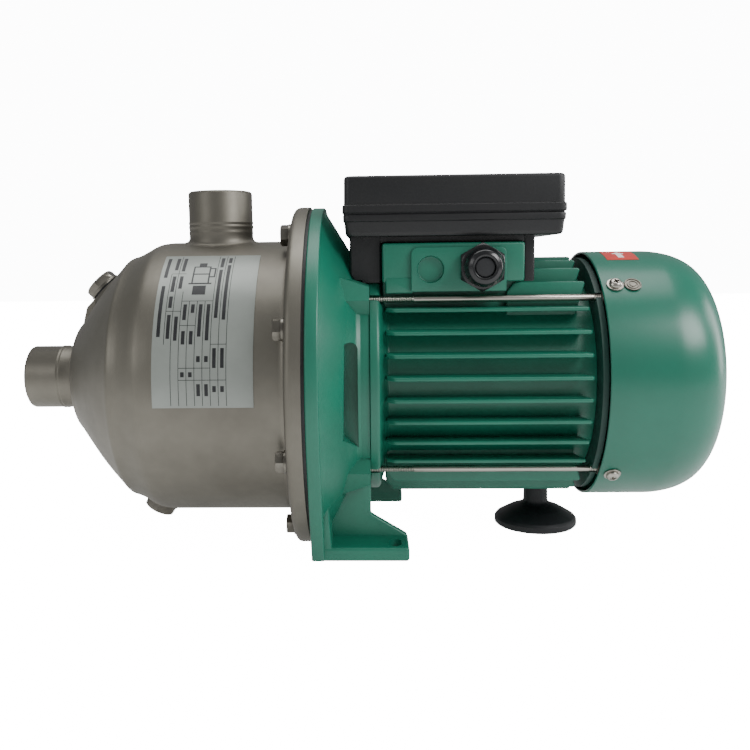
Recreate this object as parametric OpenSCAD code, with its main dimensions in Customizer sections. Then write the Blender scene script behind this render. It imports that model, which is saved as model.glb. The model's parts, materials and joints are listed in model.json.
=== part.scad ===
// Horizontal two-stage centrifugal water pump with a close-coupled single-phase motor.
// Millimetres. +X runs along the shaft from the suction port to the fan cover, +Z is up.
// The origin lies on the base plane, midway between the two slots in the feet.

/* [Frame] */
// Height of the shaft above the base
shaft_h = 90; // [88:0.5:100]
// Distance between the two foot slots, across the shaft
slot_spacing = 116; // [112:1:118]
// Width of a foot slot
slot_w = 7; // [5:0.5:8]
// Overall length of a foot slot
slot_len = 11.5; // [9:0.5:12]
// Thickness of the foot pads
pad_h = 7.5; // [6:0.5:9]

/* [Pump casing] */
// Outer diameter of the casing barrel
casing_d = 155; // [150:1:160]
// Wall of the pressed steel casing
casing_wall = 1.6; // [1.2:0.1:2]
// Outer diameter of the casing flange
flange_d = 193; // [190:1:196]
// Pitch circle of the flange bolts
bolt_pcd = 173; // [170:0.5:175]
// Number of flange bolts
bolt_count = 8; // [8:4:8]
// Outer diameter of the suction and discharge sockets
socket_d = 36.4; // [36:0.2:40]
// Bore of the sockets, at the crests of a one inch pipe thread
socket_bore = 30.3; // [29:0.1:31]
// Height of the discharge rim above the base
discharge_z = 196; // [190:1:200]
// Place of the discharge axis along the shaft
discharge_x = -97.6; // [-100:0.2:-95]
// Place of the suction rim along the shaft
suction_x = -211.5; // [-215:0.5:-205]

/* [Stages] */
// Outer diameter of the impellers
impeller_d = 100; // [90:1:104]
// Outer diameter of the stage housings
stage_d = 124; // [120:1:126]
// Length of one stage
stage_len = 29; // [29:0.5:30]
// Number of impeller blades
impeller_blades = 7; // [5:1:8]

/* [Motor] */
// Diameter over the tips of the cooling fins
motor_d = 134; // [132:0.5:134]
// Outer diameter of the finned barrel at the root of the fins
barrel_d = 110; // [108:0.5:112]
// Distance between neighbouring fins
fin_pitch = 11.4; // [11:0.1:12]
// Thickness of a fin
fin_w = 2.4; // [2:0.1:3]
// Outer diameter of the stator core
core_d = 100; // [98:0.5:102]
// Outer diameter of the rotor
rotor_d = 56; // [50:0.5:56]
// Diameter of the tie rods
rod_d = 3.6; // [3:0.1:4]

/* [Fan end] */
// Outer diameter of the fan cover
cover_d = 138.8; // [138:0.2:141]
// Wall of the fan cover
cover_wall = 1.2; // [1:0.1:1.5]
// Outer diameter of the fan
fan_d = 116; // [100:1:120]
// Number of fan blades
fan_blades = 9; // [7:1:11]
// Diameter of the rubber foot
foot_d = 47.6; // [40:0.2:50]

/* [Terminal box] */
// Length of the terminal box along the shaft
box_len = 114.2; // [110:0.2:115]
// Width of the terminal box across the shaft
box_w = 100; // [98:1:104]
// Height of the lid's top above the base
box_top = 199.3; // [198:0.1:202]
// Diameter of the cable gland nut
gland_d = 19.4; // [18:0.2:20]

/* [Hidden] */

round_fn = 96;
eps = 0.01;
gap = 0.3;                          // air between a turning piece and a fixed one

// Places along the shaft
flange_front = -54;
flange_back = -45.4;
plate_back = -43.8;
lantern_back = -12.5;
barrel_end = 105;
side_fin_end = 101;
fin_start = -4;
shield_end = 113;
shield_r = 66;
rod_front = -24;
rod_back = 111.5;
cover_start = 108;
cover_angles = [42, 133, 227, 318];  // the cover's screws, from the top towards -Y
foot_x = 85;
pad_front = -43.8;
pad_back = 7.5;

// Places across the shaft
casing_r = casing_d / 2;
flange_r = flange_d / 2;
rim_r = flange_r - 0.5;
flat_z = 0.9;                       // height of the flat cut along the bottom of the flange
pad_in = 41.5;
pad_out = 66.5;
web_out = 46.5;
rod_at = 45.5;                       // tie rods stand this far out and this far up from the shaft
shoulder_x = -127.5;
nose_x = -180.5;
nose_r = 30;

// End curve of the fan cover, as radius and place along the shaft
cover_curve = [
    [69.4, 141], [69.2, 145.5], [68.3, 151.5], [66.6, 157.6], [63.7, 163.4], [60, 167.6],
    [55.5, 170.6], [49.5, 172.6], [42, 173.6], [30, 174.4], [15, 174.8], [0, 175]
];

// Outline of the pressed dome, as radius and place along the shaft
dome = [
    [nose_r, nose_x + 0.6], [32.5, nose_x + 2.6], [38, -174.2], [51, -164.3], [58.8, -158.8],
    [64.6, -152.4], [68.8, -146.6], [72.2, -140], [75.6, -133.4], [77, -130]
];

// Fill plug: on the dome at 45 degrees, and drain plug: low on the shoulder
fill_at = [-165.6, 0, shaft_h + 51];
fill_tilt = -45;
drain_at = [-137, 0, shaft_h - casing_r + 3.2];
drain_tilt = -153.5;
plug_af = 17;
plug_r = 6.5;
plug_boss_r = 10.8;
plug_head = 4.6;

// Stage stack along the shaft
stack_front = -142;
impeller_x = stack_front + 5;
stage_r = stage_d / 2;
stage_wall = 1.4;
shaft_r_pump = 6;
shaft_r_seal = 7;
seal_front = -76;
seal_face = -54.6;
hub_r = 10;
impeller_w = 10;

// Bearings: half bore, half outside diameter and width, then the middle's place
front_brg = [8.5, 20, 12, -19.5];
rear_brg = [7.5, 17.5, 11, 98];
ball_r = 2.9;
ball_count = 8;

// Stator
core_front = 20;
core_back = 74;
slots = 24;

// Terminal box
box_x = -25.5;
box_floor = 168.3;
lid_z = 180.3;
gasket_h = 0.8;
base_top = lid_z - gasket_h;
box_wall = 2.4;
neck_half = 40;
pedestal = [-5.6, 68.5];
pedestal_half = 46;
pedestal_top = 164.8;
panel = [9.4, 58.8];
ledge_z = 144.3;
panel_y = -48;
gland_at = [46.1, panel_y, 151.9];
recess_at = [19.5, panel_y, 151];
screw_in = 6.6;

function arc(cx, cy, r, from, to, steps) =
    [for (i = [0:steps]) let (a = from + (to - from) * i / steps)
        [cx + r * cos(a), cy + r * sin(a)]];

// A child drawn up from the origin is laid along +X at height shaft_h
module along_shaft(x = 0) { translate([x, 0, shaft_h]) rotate([0, 90, 0]) children(); }
// A body turned about the shaft from points of radius and place along the shaft
module turned(points, turn = 360) {
    along_shaft() rotate_extrude(angle = turn, $fn = round_fn) polygon(points);
}
module rod_x(from, to, r, fn = round_fn) {
    along_shaft(from) cylinder(h = to - from, r = r, $fn = fn);
}
module ring_x(from, to, r_out, r_in) {
    turned([[r_in, from], [r_out, from], [r_out, to], [r_in, to]]);
}
// Copies around the shaft, the first one at angle a0 from the top
module around(count, a0 = 0) {
    for (i = [0:count - 1])
        translate([0, 0, shaft_h]) rotate([a0 + i * 360 / count, 0, 0])
            translate([0, 0, -shaft_h]) children();
}
// Copies at the screws of the fan cover
module at_cover_screws() { for (a = cover_angles) around(1, a) children(); }
module box(x, y, z) {
    translate([x[0], y[0], z[0]]) cube([x[1] - x[0], y[1] - y[0], z[1] - z[0]]);
}
module bolt_circle() { around(bolt_count, 180 / bolt_count) children(); }
module at_plug(at, tilt) { translate(at) rotate([0, tilt, 0]) children(); }
module at_rods() {
    for (y = [-1, 1], z = [-1, 1]) translate([0, y * rod_at, z * rod_at]) children();
}
module below_flat() { box([-80, 40], [-120, 120], [-40, flat_z]); }

// ---- pump ----

module casing_shape() {
    w = casing_wall;
    outer = concat([[socket_d / 2, nose_x], [nose_r - 0.6, nose_x]], dome,
        [[casing_r, shoulder_x], [casing_r, flange_front - 3], [casing_r + 3, flange_front]],
        arc(flange_r - 4, flange_front + 4, 4, -90, 0, 6), [[flange_r, flange_back]]);
    inner = concat([[casing_r - w, flange_back], [casing_r - w, shoulder_x + 0.5]],
        [for (i = [len(dome) - 1:-1:0]) [dome[i][0] - 0.8 * w, dome[i][1] + 0.8 * w]],
        [[socket_d / 2, nose_x + w]]);
    turned(concat(outer, inner));
}
module plug_boss(at, tilt, depth) {
    at_plug(at, tilt) translate([0, 0, -depth]) cylinder(h = depth, r = plug_boss_r, $fn = 64);
}
// Hole for a plug, and the flat that its sealing ring lies on
module plug_seat(at, tilt) {
    at_plug(at, tilt) {
        translate([0, 0, -20]) cylinder(h = 30, r = plug_r + 0.05, $fn = 64);
        cylinder(h = 6, r = plug_boss_r, $fn = 64);
    }
}
module pump_casing() color([0.58, 0.57, 0.53]) {
    difference() {
        union() {
            casing_shape();
            plug_boss(fill_at, fill_tilt, 7);
            plug_boss(drain_at, drain_tilt, 7);
        }
        below_flat();
        bolt_circle() translate([0, 0, bolt_pcd / 2]) rod_x(flange_front - 4, plate_back, 3.3, 32);
        plug_seat(fill_at, fill_tilt);
        plug_seat(drain_at, drain_tilt);
        translate([discharge_x, 0, shaft_h]) cylinder(h = 100, r = socket_d / 2, $fn = 96);
        ring_x(flange_back - 2.7, flange_back + 1, 81.2, 77.9);
    }
}
// A threaded pipe socket standing on the origin, with a chamfered rim and a fine bead
module socket_tube(length) {
    r = socket_d / 2;
    rotate_extrude($fn = round_fn) polygon([[socket_bore / 2, 0], [r, 0], [r, length - 1.9],
        [r - 1.6, length], [socket_bore / 2 + 1.3, length], [socket_bore / 2, length - 1.3]]);
}
module suction_socket() color([0.6, 0.59, 0.55])
    translate([nose_x + casing_wall, 0, shaft_h]) rotate([0, -90, 0])
        socket_tube(nose_x + casing_wall - suction_x);
module discharge_socket() color([0.6, 0.59, 0.55])
    difference() {
        translate([discharge_x, 0, shaft_h + 60]) socket_tube(discharge_z - shaft_h - 60);
        rod_x(discharge_x - 40, discharge_x + 40, casing_r - casing_wall);
    }
// Hexagon plug: head outwards, thread down its bore
module plug() {
    cylinder(h = 1.6, r = plug_af / 2 + 1.3, $fn = 64);
    translate([0, 0, 1.6 - eps]) cylinder(h = plug_head, r = plug_af / 2 / cos(30), $fn = 6);
    translate([0, 0, -9]) cylinder(h = 9, r = plug_r, $fn = 64);
}
module plug_oring(at, tilt) {
    at_plug(at, tilt) difference() {
        cylinder(h = 1.0, r = plug_r + 2.6, $fn = 64);
        translate([0, 0, -1]) cylinder(h = 3, r = plug_r + 0.1, $fn = 64);
    }
}
module fill_plug() color([0.72, 0.71, 0.68]) at_plug(fill_at, fill_tilt) translate([0, 0, 1]) plug();
module drain_plug() color([0.72, 0.71, 0.68])
    at_plug(drain_at, drain_tilt) translate([0, 0, 1]) plug();
module fill_plug_oring() color([0.1, 0.1, 0.1]) plug_oring(fill_at, fill_tilt);
module drain_plug_oring() color([0.1, 0.1, 0.1]) plug_oring(drain_at, drain_tilt);
module casing_oring() color([0.1, 0.1, 0.1])
    along_shaft(flange_back - 1.32) rotate_extrude($fn = round_fn)
        translate([79.5, 0]) circle(r = 1.3, $fn = 24);
module seal_plate() color([0.25, 0.26, 0.26]) {
    seat_r = 14.6;
    difference() {
        turned([[9.5, plate_back - 9], [seat_r + 3, plate_back - 9], [seat_r + 3, flange_back],
            [flange_r - 2, flange_back], [flange_r - 2, plate_back], [seat_r + 1.4, plate_back],
            [seat_r + 1.4, plate_back - 2], [9.5, plate_back - 2]]);
        turned([[9, plate_back - 10], [seat_r, plate_back - 10], [seat_r, plate_back - 4],
            [9, plate_back - 4]]);
        bolt_circle() translate([0, 0, bolt_pcd / 2]) rod_x(flange_back - 1, plate_back + 1, 3.3, 32);
        box([-80, 40], [-120, 120], [-40, flat_z + 1]);
    }
}
module inlet_housing() color([0.66, 0.65, 0.62]) {
    neck = 26;
    from = nose_x + casing_wall + 0.5;
    turned([[neck, from], [neck + 1.4, from], [neck + 1.4, stack_front - 6],
        [stage_r, stack_front - 1.4], [stage_r, stack_front], [neck + 2, stack_front],
        [neck, stack_front - 4]]);
}
// One stage cup, open at its front and with a back plate that has a hub hole
module stage_housing(x, ports) {
    difference() {
        turned([[stage_r - stage_wall, x], [stage_r, x], [stage_r, x + stage_len],
            [hub_r + 6, x + stage_len], [hub_r + 6, x + stage_len - 1.4],
            [stage_r - stage_wall, x + stage_len - 1.4]]);
        if (ports)
            around(10) translate([0, 0, stage_r - 7])
                rod_x(x + stage_len - 3, x + stage_len + 1, 4.2, 32);
    }
}
module stage_housing_1() color([0.66, 0.65, 0.62]) stage_housing(stack_front, false);
module stage_housing_2() color([0.66, 0.65, 0.62]) stage_housing(stack_front + stage_len, true);
// Return guide: a disc with curved vanes that lead the water back to the next eye
module diffuser(x) {
    from = x + stage_len - 1.4 - 11;
    difference() {
        union() {
            ring_x(from, from + 1.6, stage_r - 4, hub_r + 8);
            around(9) translate([0, 0, shaft_h]) rotate([0, 90, 0])
                translate([0, 0, from + 1]) linear_extrude(10) guide_vane();
        }
        rod_x(x, x + stage_len + 1, hub_r + 8);
    }
}
module guide_vane() {
    r = 34;
    polygon(concat(arc(20, r - 6, r, -88, -12, 8), arc(20, r - 6, r - 1.6, -12, -88, 8)));
}
module diffuser_1() color([0.7, 0.69, 0.66]) diffuser(stack_front);
module diffuser_2() color([0.7, 0.69, 0.66]) diffuser(stack_front + stage_len);
module clamp_ring() color([0.66, 0.65, 0.62]) {
    from = stack_front + 2 * stage_len;
    difference() {
        ring_x(from, flange_back, stage_r, stage_r - 2);
        around(6) box([from + 8, flange_back - 10], [-14, 14], [shaft_h + 40, shaft_h + 80]);
    }
}
// Closed impeller: two shrouds, backward-curved blades, an eye ring and a hub
module impeller(x) {
    r = impeller_d / 2;
    difference() {
        union() {
            turned([[20, x - 3], [21.4, x - 3], [21.4, x + 0.5], [r, x + 3], [r, x + 4.2],
                [20, x + 1.7]]);
            ring_x(x + impeller_w - 1.4, x + impeller_w, r, hub_r - 0.5);
            ring_x(x - 2, x + impeller_w, hub_r, shaft_r_pump);
            intersection() {
                around(impeller_blades) translate([0, 0, shaft_h]) rotate([0, 90, 0])
                    translate([0, 0, x]) linear_extrude(impeller_w) impeller_blade();
                turned([[hub_r - 0.5, x + 1], [21, x + 1.6], [r, x + 4], [r, x + impeller_w - 1],
                    [hub_r - 0.5, x + impeller_w - 1]]);
            }
        }
        rod_x(x - 5, x + impeller_w + 5, shaft_r_pump);
    }
}
module impeller_blade() {
    r = 32;
    polygon(concat(arc(14, r - 2, r, -100, -10, 8), arc(14, r - 2, r - 1.4, -10, -100, 8)));
}
module impeller_1() color([0.75, 0.74, 0.71]) impeller(impeller_x);
module impeller_2() color([0.75, 0.74, 0.71]) impeller(impeller_x + stage_len);
module impeller_spacer() color([0.7, 0.69, 0.66]) {
    ring_x(impeller_x + impeller_w, impeller_x + stage_len - 2, hub_r - 1, shaft_r_pump);
    ring_x(impeller_x + stage_len + impeller_w, seal_front, hub_r - 1, shaft_r_pump);
    ring_x(seal_front - 1.5, seal_front, 13.5, hub_r - 1.1);
}
module impeller_nut() color([0.72, 0.71, 0.68]) {
    x = impeller_x - 2;
    difference() {
        union() {
            rod_x(x - 1.6, x, 9.5);
            rod_x(x - 8.6, x - 1.6 + eps, 9.5, 6);
        }
        rod_x(x - 12, x + 1, shaft_r_pump);
    }
}
module seal_head() color([0.12, 0.12, 0.12]) {
    ring_x(seal_face - 6, seal_face, 13.5, shaft_r_seal);
    ring_x(seal_face - 9, seal_face - 6, 14.5, shaft_r_seal);
}
// Coil spring between the collar on the spacer and the seal head
module seal_spring() color([0.75, 0.75, 0.73]) {
    turns = 4;
    steps = 20 * turns;
    sides = 8;
    wire = 0.8;
    coil = 11;
    length = seal_face - 9 - seal_front - 2 * wire;
    points = [for (i = [0:steps], k = [0:sides - 1])
        let (a = 360 * turns * i / steps, b = 360 * k / sides, r = coil + wire * cos(b))
            [r * cos(a), r * sin(a), wire + length * i / steps + wire * sin(b)]];
    sides_list = [for (i = [0:steps - 1], k = [0:sides - 1])
        let (n = (k + 1) % sides)
            [i * sides + k, (i + 1) * sides + k, (i + 1) * sides + n, i * sides + n]];
    front_end = [for (k = [0:sides - 1]) k];
    back_end = [for (k = [sides - 1:-1:0]) steps * sides + k];
    along_shaft(seal_front) polyhedron(points, concat(sides_list, [front_end], [back_end]));
}
module seal_seat() color([0.8, 0.79, 0.75])
    ring_x(seal_face + gap, plate_back - 4, 14.6, 9.8);
module flange_bolts() color([0.66, 0.65, 0.62]) {
    head_back = flange_front - 1.6;
    bolt_circle() translate([0, 0, bolt_pcd / 2]) {
        difference() {
            rod_x(head_back - 4, head_back, 5.77, 6);
            turned_cap(head_back - 4);
        }
        rod_x(head_back - eps, plate_back + 9, 2.9, 32);
    }
}
// Cuts the six corners of a bolt head to a shallow cone
module turned_cap(x) {
    turned([[5.2, x - eps], [8, x - eps], [8, x + 1.5]]);
}
module flange_washers() color([0.72, 0.71, 0.68])
    bolt_circle() translate([0, 0, bolt_pcd / 2]) difference() {
        rod_x(flange_front - 1.6, flange_front, 6, 48);
        rod_x(flange_front - 3, flange_front + 1, 3.2, 32);
    }

// ---- lantern and feet ----

// Where the straight side of the foot meets the round rim
foot_d0 = sqrt(pad_out * pad_out + shaft_h * shaft_h);
foot_angle = acos(rim_r / foot_d0) - atan2(shaft_h, pad_out);
side_y = (rim_r - 0.8) * cos(foot_angle + 2);
side_z = (rim_r - 0.8) * sin(foot_angle + 2);

module lantern_front() {
    rod_x(plate_back, plate_back + 6.8, rim_r);
    translate([plate_back, 0, 0]) rotate([90, 0, 90]) linear_extrude(6.8)
        polygon([[-pad_out, 0], [pad_out, 0], [side_y, shaft_h + side_z],
            [-side_y, shaft_h + side_z]]);
}
module foot(side) {
    y = side > 0 ? [pad_in, pad_out] : [-pad_out, -pad_in];
    web = side > 0 ? [pad_in, web_out] : [-web_out, -pad_in];
    box([pad_front, pad_back], y, [0, pad_h]);
    translate([0, web[1], 0]) rotate([90, 0, 0]) linear_extrude(web_out - pad_in)
        polygon([[pad_front, 0], [pad_back, 0], [pad_back, pad_h], [lantern_back, 19.6],
            [lantern_back, 48], [pad_front, 60]]);
}
module foot_slot() {
    reach = (slot_len - slot_w) / 2;
    for (s = [-1, 1]) translate([0, s * reach, -1]) cylinder(h = pad_h + 2, r = slot_w / 2, $fn = 48);
    translate([-slot_w / 2, -reach, -1]) cube([slot_w, 2 * reach, pad_h + 2]);
}
// The mounting face grows thicker towards the base
module foot_taper(side) {
    y = side > 0 ? pad_out - 1 : -web_out + 1;
    translate([0, y, 0]) rotate([90, 0, 0]) linear_extrude(pad_out - web_out)
        polygon([[pad_front, 0], [pad_front + 11.2, 0], [pad_front + 6.2, 72], [pad_front, 72]]);
}
module tie_lug() {
    translate([lantern_back - 12, -6.5, -10.5]) cube([12, 14, 18.5]);
}
module lantern() color([0.16, 0.5, 0.42]) {
    hub = front_brg[1];
    mid = front_brg[3];
    half = front_brg[2] / 2;
    difference() {
        union() {
            lantern_front();
            turned([[0, plate_back + 2], [94, plate_back + 2], [94, plate_back + 6.8],
                [72, -24], [66, -20], [65, -17], [65, lantern_back], [0, lantern_back]]);
            for (s = [-1, 1]) {
                foot(s);
                foot_taper(s);
            }
            for (y = [0, 1], z = [0, 1]) translate([0, 0, shaft_h]) mirror([0, y, 0])
                mirror([0, 0, z]) translate([0, rod_at, rod_at]) tie_lug();
        }
        // hollow behind the seal plate
        turned([[0, plate_back - 1], [74, plate_back - 1], [74, plate_back + 4], [54, -29.5],
            [54, -17], [hub + 5, -17], [hub + 5, -30], [0, -30]]);
        rod_x(-31, lantern_back + 1, 12);
        rod_x(mid - half, 0, hub);
        box([-80, 40], [-pad_in, pad_in], [-40, flat_z + 1]);
        // arched recesses in the sides
        for (s = [-1, 1]) {
            y = s > 0 ? [57.5, 90] : [-90, -57.5];
            translate([-23.7, y[1], shaft_h]) rotate([90, 0, 0]) linear_extrude(y[1] - y[0])
                polygon(concat([[-5.2, -25], [5.2, -25]], arc(0, 20, 5.2, 0, 180, 8)));
        }
        bolt_circle() translate([0, 0, bolt_pcd / 2]) rod_x(plate_back - 1, plate_back + 12, 3, 32);
        translate([0, 0, shaft_h]) at_rods() rotate([0, 90, 0]) translate([0, 0, -30])
            cylinder(h = 30, r = rod_d / 2 + 0.1, $fn = 32);
        for (s = [-1, 1]) translate([0, s * slot_spacing / 2, 0]) foot_slot();
    }
}
module splash_ring() color([0.1, 0.1, 0.1])
    turned([[7, -40], [20, -38], [21, -36.5], [12, -36], [10, -33], [7, -33]]);

// ---- rotor ----

module motor_shaft() color([0.62, 0.62, 0.6])
    turned([[0, impeller_x - 14], [5, impeller_x - 14], [shaft_r_pump, impeller_x - 13],
        [shaft_r_pump, seal_front], [shaft_r_seal, seal_front], [shaft_r_seal, -27.6],
        [front_brg[0], -27.4], [front_brg[0], -12], [10, -11.8], [10, 91], [rear_brg[0], 91.2],
        [rear_brg[0], 104], [6, 104.2], [6, 150], [5, 151], [0, 151]]);
module rotor_core() color([0.5, 0.5, 0.5]) ring_x(core_front, core_back, rotor_d / 2, 10);
module rotor_end_rings() color([0.75, 0.76, 0.77])
    for (side = [0, 1]) {
        x = side == 0 ? core_front - 8 : core_back;
        ring_x(x, x + 8, rotor_d / 2 - 1, 15);
        around(6) box([side == 0 ? x - 5 : x + 8 - eps, side == 0 ? x + eps : x + 13], [-1, 1],
            [shaft_h + 17, shaft_h + 25]);
    }
module bearing_ring(b, r_out, r_in) {
    pitch_r = (b[0] + b[1]) / 2;
    difference() {
        ring_x(b[3] - b[2] / 2, b[3] + b[2] / 2, r_out, r_in);
        along_shaft(b[3]) rotate_extrude($fn = round_fn)
            translate([pitch_r, 0]) circle(r = ball_r + 0.15, $fn = 32);
    }
}
module bearing_outer(b) {
    bearing_ring(b, b[1], (b[0] + b[1]) / 2 + 1.9);
}
module bearing_inner(b) {
    bearing_ring(b, (b[0] + b[1]) / 2 - 1.9, b[0]);
}
module bearing_balls(b) {
    around(ball_count) translate([b[3], 0, shaft_h + (b[0] + b[1]) / 2]) sphere(r = ball_r, $fn = 32);
}
module front_bearing_outer() color([0.7, 0.7, 0.7]) bearing_outer(front_brg);
module front_bearing_inner() color([0.7, 0.7, 0.7]) bearing_inner(front_brg);
module front_bearing_balls() color([0.8, 0.8, 0.8]) bearing_balls(front_brg);
module rear_bearing_outer() color([0.7, 0.7, 0.7]) bearing_outer(rear_brg);
module rear_bearing_inner() color([0.7, 0.7, 0.7]) bearing_inner(rear_brg);
module rear_bearing_balls() color([0.8, 0.8, 0.8]) bearing_balls(rear_brg);
module wave_washer() color([0.7, 0.7, 0.7])
    ring_x(rear_brg[3] + rear_brg[2] / 2, rear_brg[3] + rear_brg[2] / 2 + 0.7, 17, 13.5);

// ---- stator ----

module fin(z0, half, from, to) {
    for (i = [-3.5:1:3.5]) translate([0, i * fin_pitch, 0])
        box([from, to], [-fin_w / 2, fin_w / 2], [z0, z0 + half]);
}
module fins_side(side) {
    intersection() {
        translate([0, 0, shaft_h]) rotate([side * 90, 0, 0]) fin(34, 50, fin_start, side_fin_end);
        rod_x(fin_start, side_fin_end, motor_d / 2 - 0.6);
        box([fin_start, side_fin_end], [-90, 90], [shaft_h - 42, shaft_h + 42]);
    }
}
module fins_vertical(up, from, to) {
    intersection() {
        translate([0, 0, shaft_h]) rotate([up ? 0 : 180, 0, 0]) fin(34, 50, from, to);
        rod_x(from, to, motor_d / 2);
        box([from, to], [-42, 42], [0, 200]);
    }
}
module stator_housing() color([0.16, 0.5, 0.42]) {
    difference() {
        union() {
            rod_x(lantern_back + gap / 3, barrel_end, barrel_d / 2);
            rod_x(lantern_back + gap / 3, fin_start + 0.5, motor_d / 2 - 1);
            for (s = [-1, 1]) fins_side(s);
            fins_vertical(false, fin_start, side_fin_end);
            fins_vertical(true, 75.2, side_fin_end);
            pedestal_block();
            translate([foot_x, 0, 23.4]) cylinder(h = 30, r = 9, $fn = 48);
        }
        rod_x(lantern_back - 1, barrel_end + 1, core_d / 2);
        translate([0, 0, shaft_h]) at_rods() rotate([0, 90, 0]) translate([0, 0, -20])
            cylinder(h = 140, r = rod_d / 2 + 0.5, $fn = 32);
        translate([foot_x, 0, 20]) cylinder(h = 15, r = 4, $fn = 32);
        // wire passage and gland hole
        box([6, 56], [-24, 24], [shaft_h + 40, pedestal_top + 1]);
        translate(gland_at) rotate([-90, 0, 0]) cylinder(h = 24.1, r = 8.1, $fn = 48);
        translate(recess_at) rotate([90, 0, 0]) translate([0, 0, -1.6])
            cylinder(h = 5, r = 7, $fn = 48);
    }
}
module pedestal_block() {
    difference() {
        union() {
            box(pedestal, [-pedestal_half, pedestal_half], [ledge_z, pedestal_top]);
            box(pedestal, [-38, 38], [shaft_h + 36, pedestal_top]);
            box(panel, [panel_y, -30], [139.5, 162.4]);
        }
        rod_x(pedestal[0] - 1, pedestal[1] + 1, barrel_d / 2 - 2);
    }
}
module stator_core() color([0.42, 0.42, 0.43])
    difference() {
        ring_x(core_front, core_back, core_d / 2 - 0.05, rotor_d / 2 + gap);
        around(slots) box([core_front - 1, core_back + 1], [-2, 2],
            [shaft_h + rotor_d / 2 + 3, shaft_h + rotor_d / 2 + 14]);
    }
module stator_winding() color([0.72, 0.38, 0.18]) {
    r_in = rotor_d / 2 + 3.2;
    for (x = [core_front - 15, core_back])
        turned(concat(arc(r_in + 11, x + 11, 4, 0, 90, 4), arc(r_in + 4, x + 11, 4, 90, 180, 4),
            arc(r_in + 4, x + 4, 4, 180, 270, 4), arc(r_in + 11, x + 4, 4, 270, 360, 4)));
    around(slots) box([core_front - eps, core_back + eps], [-1.9, 1.9],
        [shaft_h + rotor_d / 2 + 3.2, shaft_h + rotor_d / 2 + 13.8]);
}
module rear_shield() color([0.12, 0.3, 0.26]) {
    seat = rear_brg[1];
    from = rear_brg[3] - rear_brg[2] / 2;
    difference() {
        union() {
            rod_x(barrel_end, shield_end - 5, shield_r);
            rod_x(from, barrel_end + 1, seat + 5);
            ring_x(barrel_end - 4, barrel_end + 1, core_d / 2 - 0.1, core_d / 2 - 4);
            at_cover_screws() cover_lug();
        }
        rod_x(from - 1, rear_brg[3] + rear_brg[2] / 2 + 1, seat);
        rod_x(from - 1, shield_end + 1, 9);
        translate([0, 0, shaft_h]) at_rods() rotate([0, 90, 0])
            cylinder(h = shield_end - 2, r = rod_d / 2 + 0.5, $fn = 32);
        at_cover_screws() translate([shield_end + 2, 0, shaft_h + 55])
            cylinder(h = 20, r = 1.7, $fn = 24);
        around(4) ring_pocket();
    }
}
// Bent ear behind a tie rod nut, which the fan cover screws into
module cover_lug() {
    box([barrel_end, shield_end + 6], [-6, 6], [shaft_h + 52, shaft_h + 60]);
    box([shield_end - 1, shield_end + 6], [-6, 6], [shaft_h + 52, shaft_h + 67.6]);
}
// Weight-saving pocket in the back of the end shield
module ring_pocket() {
    box([barrel_end + 1.4, shield_end], [-14, 14], [shaft_h + 30, shaft_h + 52]);
}
module tie_rods() color([0.75, 0.75, 0.73])
    translate([0, 0, shaft_h]) at_rods() translate([rod_front, 0, 0]) rotate([0, 90, 0])
        cylinder(h = rod_back - rod_front, r = rod_d / 2, $fn = 32);
module tie_rod_nuts() color([0.75, 0.75, 0.73])
    translate([0, 0, shaft_h]) at_rods() translate([shield_end - 5, 0, 0]) rotate([0, 90, 0])
        difference() {
            rotate(15) cylinder(h = 3, r = 3.8, $fn = 6);
            translate([0, 0, -1]) cylinder(h = 5, r = rod_d / 2, $fn = 32);
        }

// ---- fan end ----

module fan() color([0.13, 0.14, 0.15]) {
    x = 124;
    difference() {
        union() {
            ring_x(x, x + 22, 11, 6);
            turned([[10, x + 2], [fan_d / 2, x + 2], [fan_d / 2, x + 4], [10, x + 4.6]]);
            around(fan_blades) intersection() {
                box([x + 3, x + 20], [-1, 1], [shaft_h + 10, shaft_h + fan_d / 2 - 0.5]);
                turned([[9, x + 3], [fan_d / 2, x + 3], [fan_d / 2, x + 19], [fan_d / 4, x + 17],
                    [9, x + 17]]);
            }
        }
        rod_x(x - 1, x + 30, 6);
    }
}
module fan_cover() color([0.16, 0.5, 0.42]) {
    r = cover_d / 2;
    w = cover_wall;
    difference() {
        turned(concat([[r - w, cover_start], [r, cover_start]], cover_curve,
            [for (i = [len(cover_curve) - 1:-1:0])
                [max(0, cover_curve[i][0] - w), cover_curve[i][1] - w]]));
        at_cover_screws() translate([shield_end + 2, 0, shaft_h + 55])
            cylinder(h = 20, r = 2, $fn = 24);
        // air inlet grille in the end
        around(20) grille_slot();
    }
}
module grille_slot() {
    box([150, 195], [-1.6, 1.6], [shaft_h + 17, shaft_h + 41]);
}
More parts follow.
